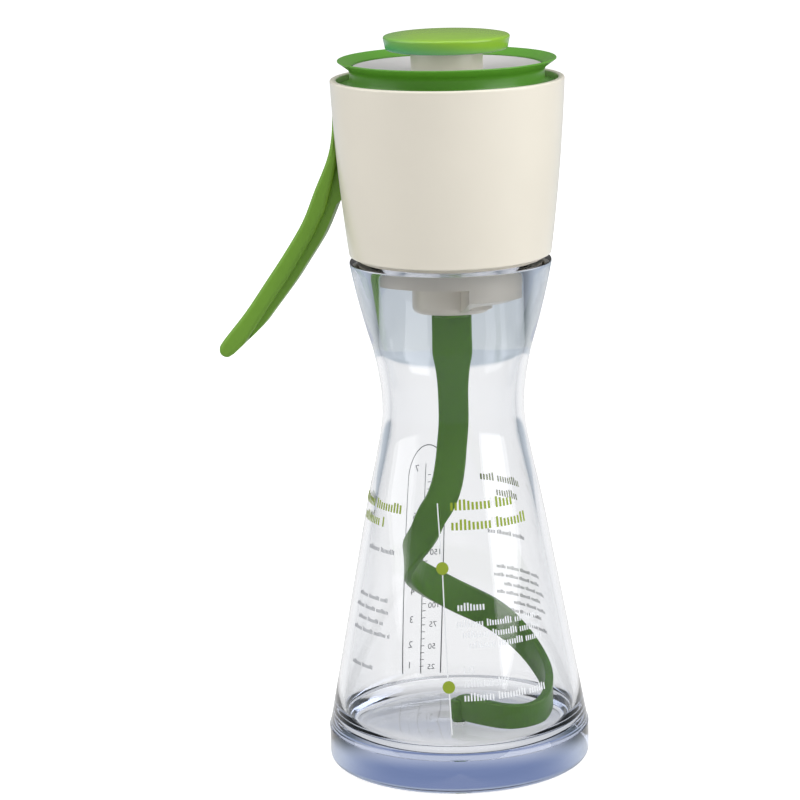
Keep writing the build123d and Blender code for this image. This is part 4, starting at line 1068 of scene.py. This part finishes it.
class SCENE_OT_mixer_stage(bpy.types.Operator):
    """Sets the pale floor, the soft studio light and the camera"""

    bl_idname = "scene.mixer_stage"
    bl_label = "Stage"

    def execute(self, context):
        scene = context.scene
        scene.view_settings.view_transform = "Standard"
        self.make_floor()
        self.make_world(scene)
        self.make_lights()
        self.make_camera(scene)
        return {"FINISHED"}

    def make_floor(self):
        """A pale floor that shows as white and keeps the bottle's shadow."""
        bm = bmesh.new()
        bmesh.ops.create_grid(bm, x_segments=1, y_segments=1, size=FLOOR_HALF)
        bmesh.ops.translate(bm, verts=bm.verts, vec=(0, 0, -FLOOR_DROP))
        floor = finish_mesh("floor", bm)
        material, tree, output = new_material("pale_floor")
        paint = add_node(tree, "ShaderNodeBsdfDiffuse", {"Color": (0.82, 0.82, 0.82, 1)})
        glow = add_node(
            tree, "ShaderNodeEmission", {"Color": (1, 1, 1, 1), "Strength": FLOOR_GLOW}
        )
        seen = add_node(tree, "ShaderNodeAddShader", {0: paint.outputs[0], 1: glow.outputs[0]})
        through = self.floor_through_glass(tree)
        rays = add_node(tree, "ShaderNodeLightPath")
        shown = add_node(
            tree, "ShaderNodeMath",
            {0: rays.outputs["Is Transmission Ray"], 1: rays.outputs["Is Glossy Ray"]},
            operation="MAXIMUM",
        )
        direct = add_node(
            tree, "ShaderNodeMath", {0: rays.outputs["Diffuse Depth"], 1: BOUNCED},
            operation="LESS_THAN",
        )
        glass = add_node(
            tree, "ShaderNodeMath", {0: shown.outputs[0], 1: direct.outputs[0]},
            operation="MULTIPLY",
        )
        bare = add_node(
            tree, "ShaderNodeMixShader",
            {0: glass.outputs[0], 1: paint.outputs[0], 2: through.outputs[0]},
        )
        mix = add_node(
            tree, "ShaderNodeMixShader",
            {0: rays.outputs["Is Camera Ray"], 1: bare.outputs[0], 2: seen.outputs[0]},
        )
        tree.links.new(mix.outputs[0], output.inputs["Surface"])
        floor.data.materials.append(material)

    def behind(self, tree, vector, ahead=0.0, fade=BACK_FADE):
        """How far a direction or place lies behind the bottle, 1 behind and 0 beside it.

        A place is measured from a point that many metres in front of the bottle.
        """
        start, end = fade
        moved = add_node(
            tree, "ShaderNodeVectorMath", {0: vector, 1: [ahead * v for v in BACK]},
            operation="ADD",
        )
        unit = add_node(
            tree, "ShaderNodeVectorMath", {0: moved.outputs["Vector"]}, operation="NORMALIZE"
        )
        along = add_node(
            tree, "ShaderNodeVectorMath", {0: unit.outputs["Vector"], 1: BACK},
            operation="DOT_PRODUCT",
        )
        share = add_node(
            tree, "ShaderNodeMapRange",
            {"Value": along.outputs["Value"], "From Min": start, "From Max": end},
            interpolation_type="SMOOTHSTEP",
        )
        return share.outputs["Result"]

    def tone(self, tree, share, low, high):
        """A colour between two greys."""
        mix = add_node(
            tree, "ShaderNodeMix", {0: share, 6: (*low, 1), 7: (*high, 1)}, data_type="RGBA"
        )
        return mix.outputs[2]

    def floor_through_glass(self, tree):
        """The floor as the clear plastic shows it: white behind, and grey elsewhere."""
        place_on = add_node(tree, "ShaderNodeTexCoord").outputs["Object"]
        near = self.tone(tree, self.behind(tree, place_on, NEAR_AHEAD), *NEAR_FLOOR)
        far = self.tone(tree, self.behind(tree, place_on), *FAR_FLOOR)
        away = add_node(tree, "ShaderNodeVectorMath", {0: place_on}, operation="LENGTH")
        start, end = FLOOR_FADE
        distance = add_node(
            tree, "ShaderNodeMapRange",
            {"Value": away.outputs["Value"], "From Min": start, "From Max": end},
            interpolation_type="SMOOTHSTEP",
        )
        grey = add_node(
            tree, "ShaderNodeMix", {0: distance.outputs["Result"], 6: near, 7: far},
            data_type="RGBA",
        )
        shade = self.shade_under(tree, place_on, away.outputs["Value"])
        lit = add_node(tree, "ShaderNodeMath", {0: 1.0, 1: shade}, operation="SUBTRACT")
        return add_node(
            tree, "ShaderNodeEmission", {"Color": grey.outputs[2], "Strength": lit.outputs[0]}
        )

    def shade_under(self, tree, place_on, away):
        """The dark patch under the bottle, deeper toward its back."""
        ahead = add_node(
            tree, "ShaderNodeVectorMath", {0: place_on, 1: [-v for v in BACK]},
            operation="DOT_PRODUCT",
        )
        under = add_node(
            tree, "ShaderNodeMapRange",
            {"Value": away, "From Min": 0.03, "From Max": 0.05, "To Min": 1.0, "To Max": 0.0},
        )
        rear = add_node(
            tree, "ShaderNodeMapRange",
            {"Value": ahead.outputs["Value"], "From Min": -0.03, "From Max": 0.04,
             "To Min": 0.5, "To Max": 0.12},
        )
        shade = add_node(
            tree, "ShaderNodeMath", {0: under.outputs["Result"], 1: rear.outputs["Result"]},
            operation="MULTIPLY",
        )
        return shade.outputs[0]

    def bands(self, tree, level, low, middle, high):
        """A colour by elevation: at the horizon, a little above it, and high up."""
        rise, climb = (
            add_node(
                tree, "ShaderNodeMapRange", {"Value": level, "From Min": start, "From Max": end},
                interpolation_type="SMOOTHSTEP",
            )
            for start, end in ROOM_STEPS
        )
        lower = self.tone(tree, rise.outputs["Result"], low, middle)
        mix = add_node(
            tree, "ShaderNodeMix", {0: climb.outputs["Result"], 6: lower, 7: (*high, 1)},
            data_type="RGBA",
        )
        return mix.outputs[2]

    def make_world(self, scene):
        """A world that is white where it is seen, and plain soft light elsewhere.

        Clear plastic shows it grey near the horizon, and darker beside and in front.
        """
        world = bpy.data.worlds.new("studio")
        scene.world = world
        world.use_nodes = True
        tree = world.node_tree
        tree.nodes.clear()
        output = add_node(tree, "ShaderNodeOutputWorld")
        rays = add_node(tree, "ShaderNodeLightPath")
        place_on = add_node(tree, "ShaderNodeTexCoord")
        share = self.behind(tree, place_on.outputs["Generated"])
        level = add_node(tree, "ShaderNodeSeparateXYZ", {0: place_on.outputs["Generated"]})
        back = self.bands(tree, level.outputs["Z"], *ROOM_BEHIND)
        side = self.bands(tree, level.outputs["Z"], *ROOM_BESIDE)
        around = add_node(tree, "ShaderNodeMix", {0: share, 6: side, 7: back}, data_type="RGBA")
        front = self.behind(tree, place_on.outputs["Generated"], fade=FRONT_FADE)
        room = add_node(
            tree, "ShaderNodeMix", {0: front, 6: around.outputs[2], 7: (*ROOM_IN_FRONT, 1)},
            data_type="RGBA",
        )
        soft, mirror, through, white = (
            add_node(tree, "ShaderNodeBackground", {"Color": shown, "Strength": strength})
            for shown, strength in (
                ((1, 1, 1, 1), ROOM_LIGHT), ((1, 1, 1, 1), ROOM_MIRROR),
                (room.outputs[2], 1.0), ((1, 1, 1, 1), 1.0),
            )
        )
        bounced = add_node(
            tree, "ShaderNodeMath", {0: rays.outputs["Diffuse Depth"], 1: BOUNCED},
            operation="GREATER_THAN",
        )
        last = mirror
        for kind, background in (
            (rays.outputs["Is Transmission Ray"], through), (bounced.outputs[0], soft),
            (rays.outputs["Is Camera Ray"], white),
        ):
            last = add_node(
                tree, "ShaderNodeMixShader",
                {0: kind, 1: last.outputs[0], 2: background.outputs[0]},
            )
        tree.links.new(last.outputs[0], output.inputs["Surface"])

    def make_lights(self):
        """Softboxes: a key at the right, a fill at the left and one overhead."""
        for name, place_at, aim, size, power in SOFTBOXES:
            light = bpy.data.lights.new(name, "AREA")
            light.shape = "RECTANGLE"
            light.size = size
            light.size_y = size * SOFTBOX_SHAPE
            light.energy = power
            lamp = bpy.data.objects.new(name, light)
            bpy.context.scene.collection.objects.link(lamp)
            lamp.location = place_at
            beam = Vector(aim) - Vector(place_at)
            lamp.rotation_euler = beam.to_track_quat("-Z", "Y").to_euler()

    def make_camera(self, scene):
        """The photograph's camera: low pitch, nine degrees off the front, slightly rolled."""
        sizes = scene.mixer_sizes
        camera = bpy.data.cameras.new("photo_camera")
        camera.sensor_width = SENSOR
        camera.lens = sizes.photo_lens
        camera.shift_x = PHOTO_SHIFT / PHOTO_WIDTH
        camera.clip_end = 20
        rig = bpy.data.objects.new("photo_camera", camera)
        scene.collection.objects.link(rig)
        distance = sizes.camera_distance
        rig.location = (
            distance * math.sin(AZIMUTH), -distance * math.cos(AZIMUTH), sizes.camera_height
        )
        turn = Matrix.Rotation(AZIMUTH, 4, "Z") @ Matrix.Rotation(math.pi / 2 - PITCH, 4, "X")
        rig.rotation_euler = (turn @ Matrix.Rotation(-ROLL, 4, "Z")).to_euler()
        scene.camera = rig


class VIEW3D_PT_mixer(bpy.types.Panel):
    """Lists the mixer bottle's builders in the sidebar"""

    bl_idname = "VIEW3D_PT_mixer"
    bl_label = "Mixer Bottle"
    bl_space_type = "VIEW_3D"
    bl_region_type = "UI"
    bl_category = "Mixer Bottle"

    def draw(self, context):
        layout = self.layout
        for operator in OPERATORS:
            layout.operator(operator.bl_idname)


OPERATORS = (
    MESH_OT_mixer_bottle,
    MESH_OT_mixer_print,
    MESH_OT_mixer_cover,
    MESH_OT_mixer_pour_ring,
    MESH_OT_mixer_stopper,
    MESH_OT_mixer_lever,
    MESH_OT_mixer_paddle,
    MESH_OT_mixer_inside,
    SCENE_OT_mixer_stage,
)
CLASSES = (MixerColours, MixerSizes, *OPERATORS, VIEW3D_PT_mixer)


def register():
    """Registers the classes and the scene's settings."""
    for cls in CLASSES:
        bpy.utils.register_class(cls)
    bpy.types.Scene.mixer_colours = PointerProperty(type=MixerColours)
    bpy.types.Scene.mixer_sizes = PointerProperty(type=MixerSizes)


def unregister():
    """Removes the scene's settings and the classes."""
    del bpy.types.Scene.mixer_sizes
    del bpy.types.Scene.mixer_colours
    for cls in reversed(CLASSES):
        bpy.utils.unregister_class(cls)


def main():
    """Builds every piece in order."""
    register()
    for operator in OPERATORS:
        group, name = operator.bl_idname.split(".")
        getattr(getattr(bpy.ops, group), name)()


if __name__ == "__main__":
    main()
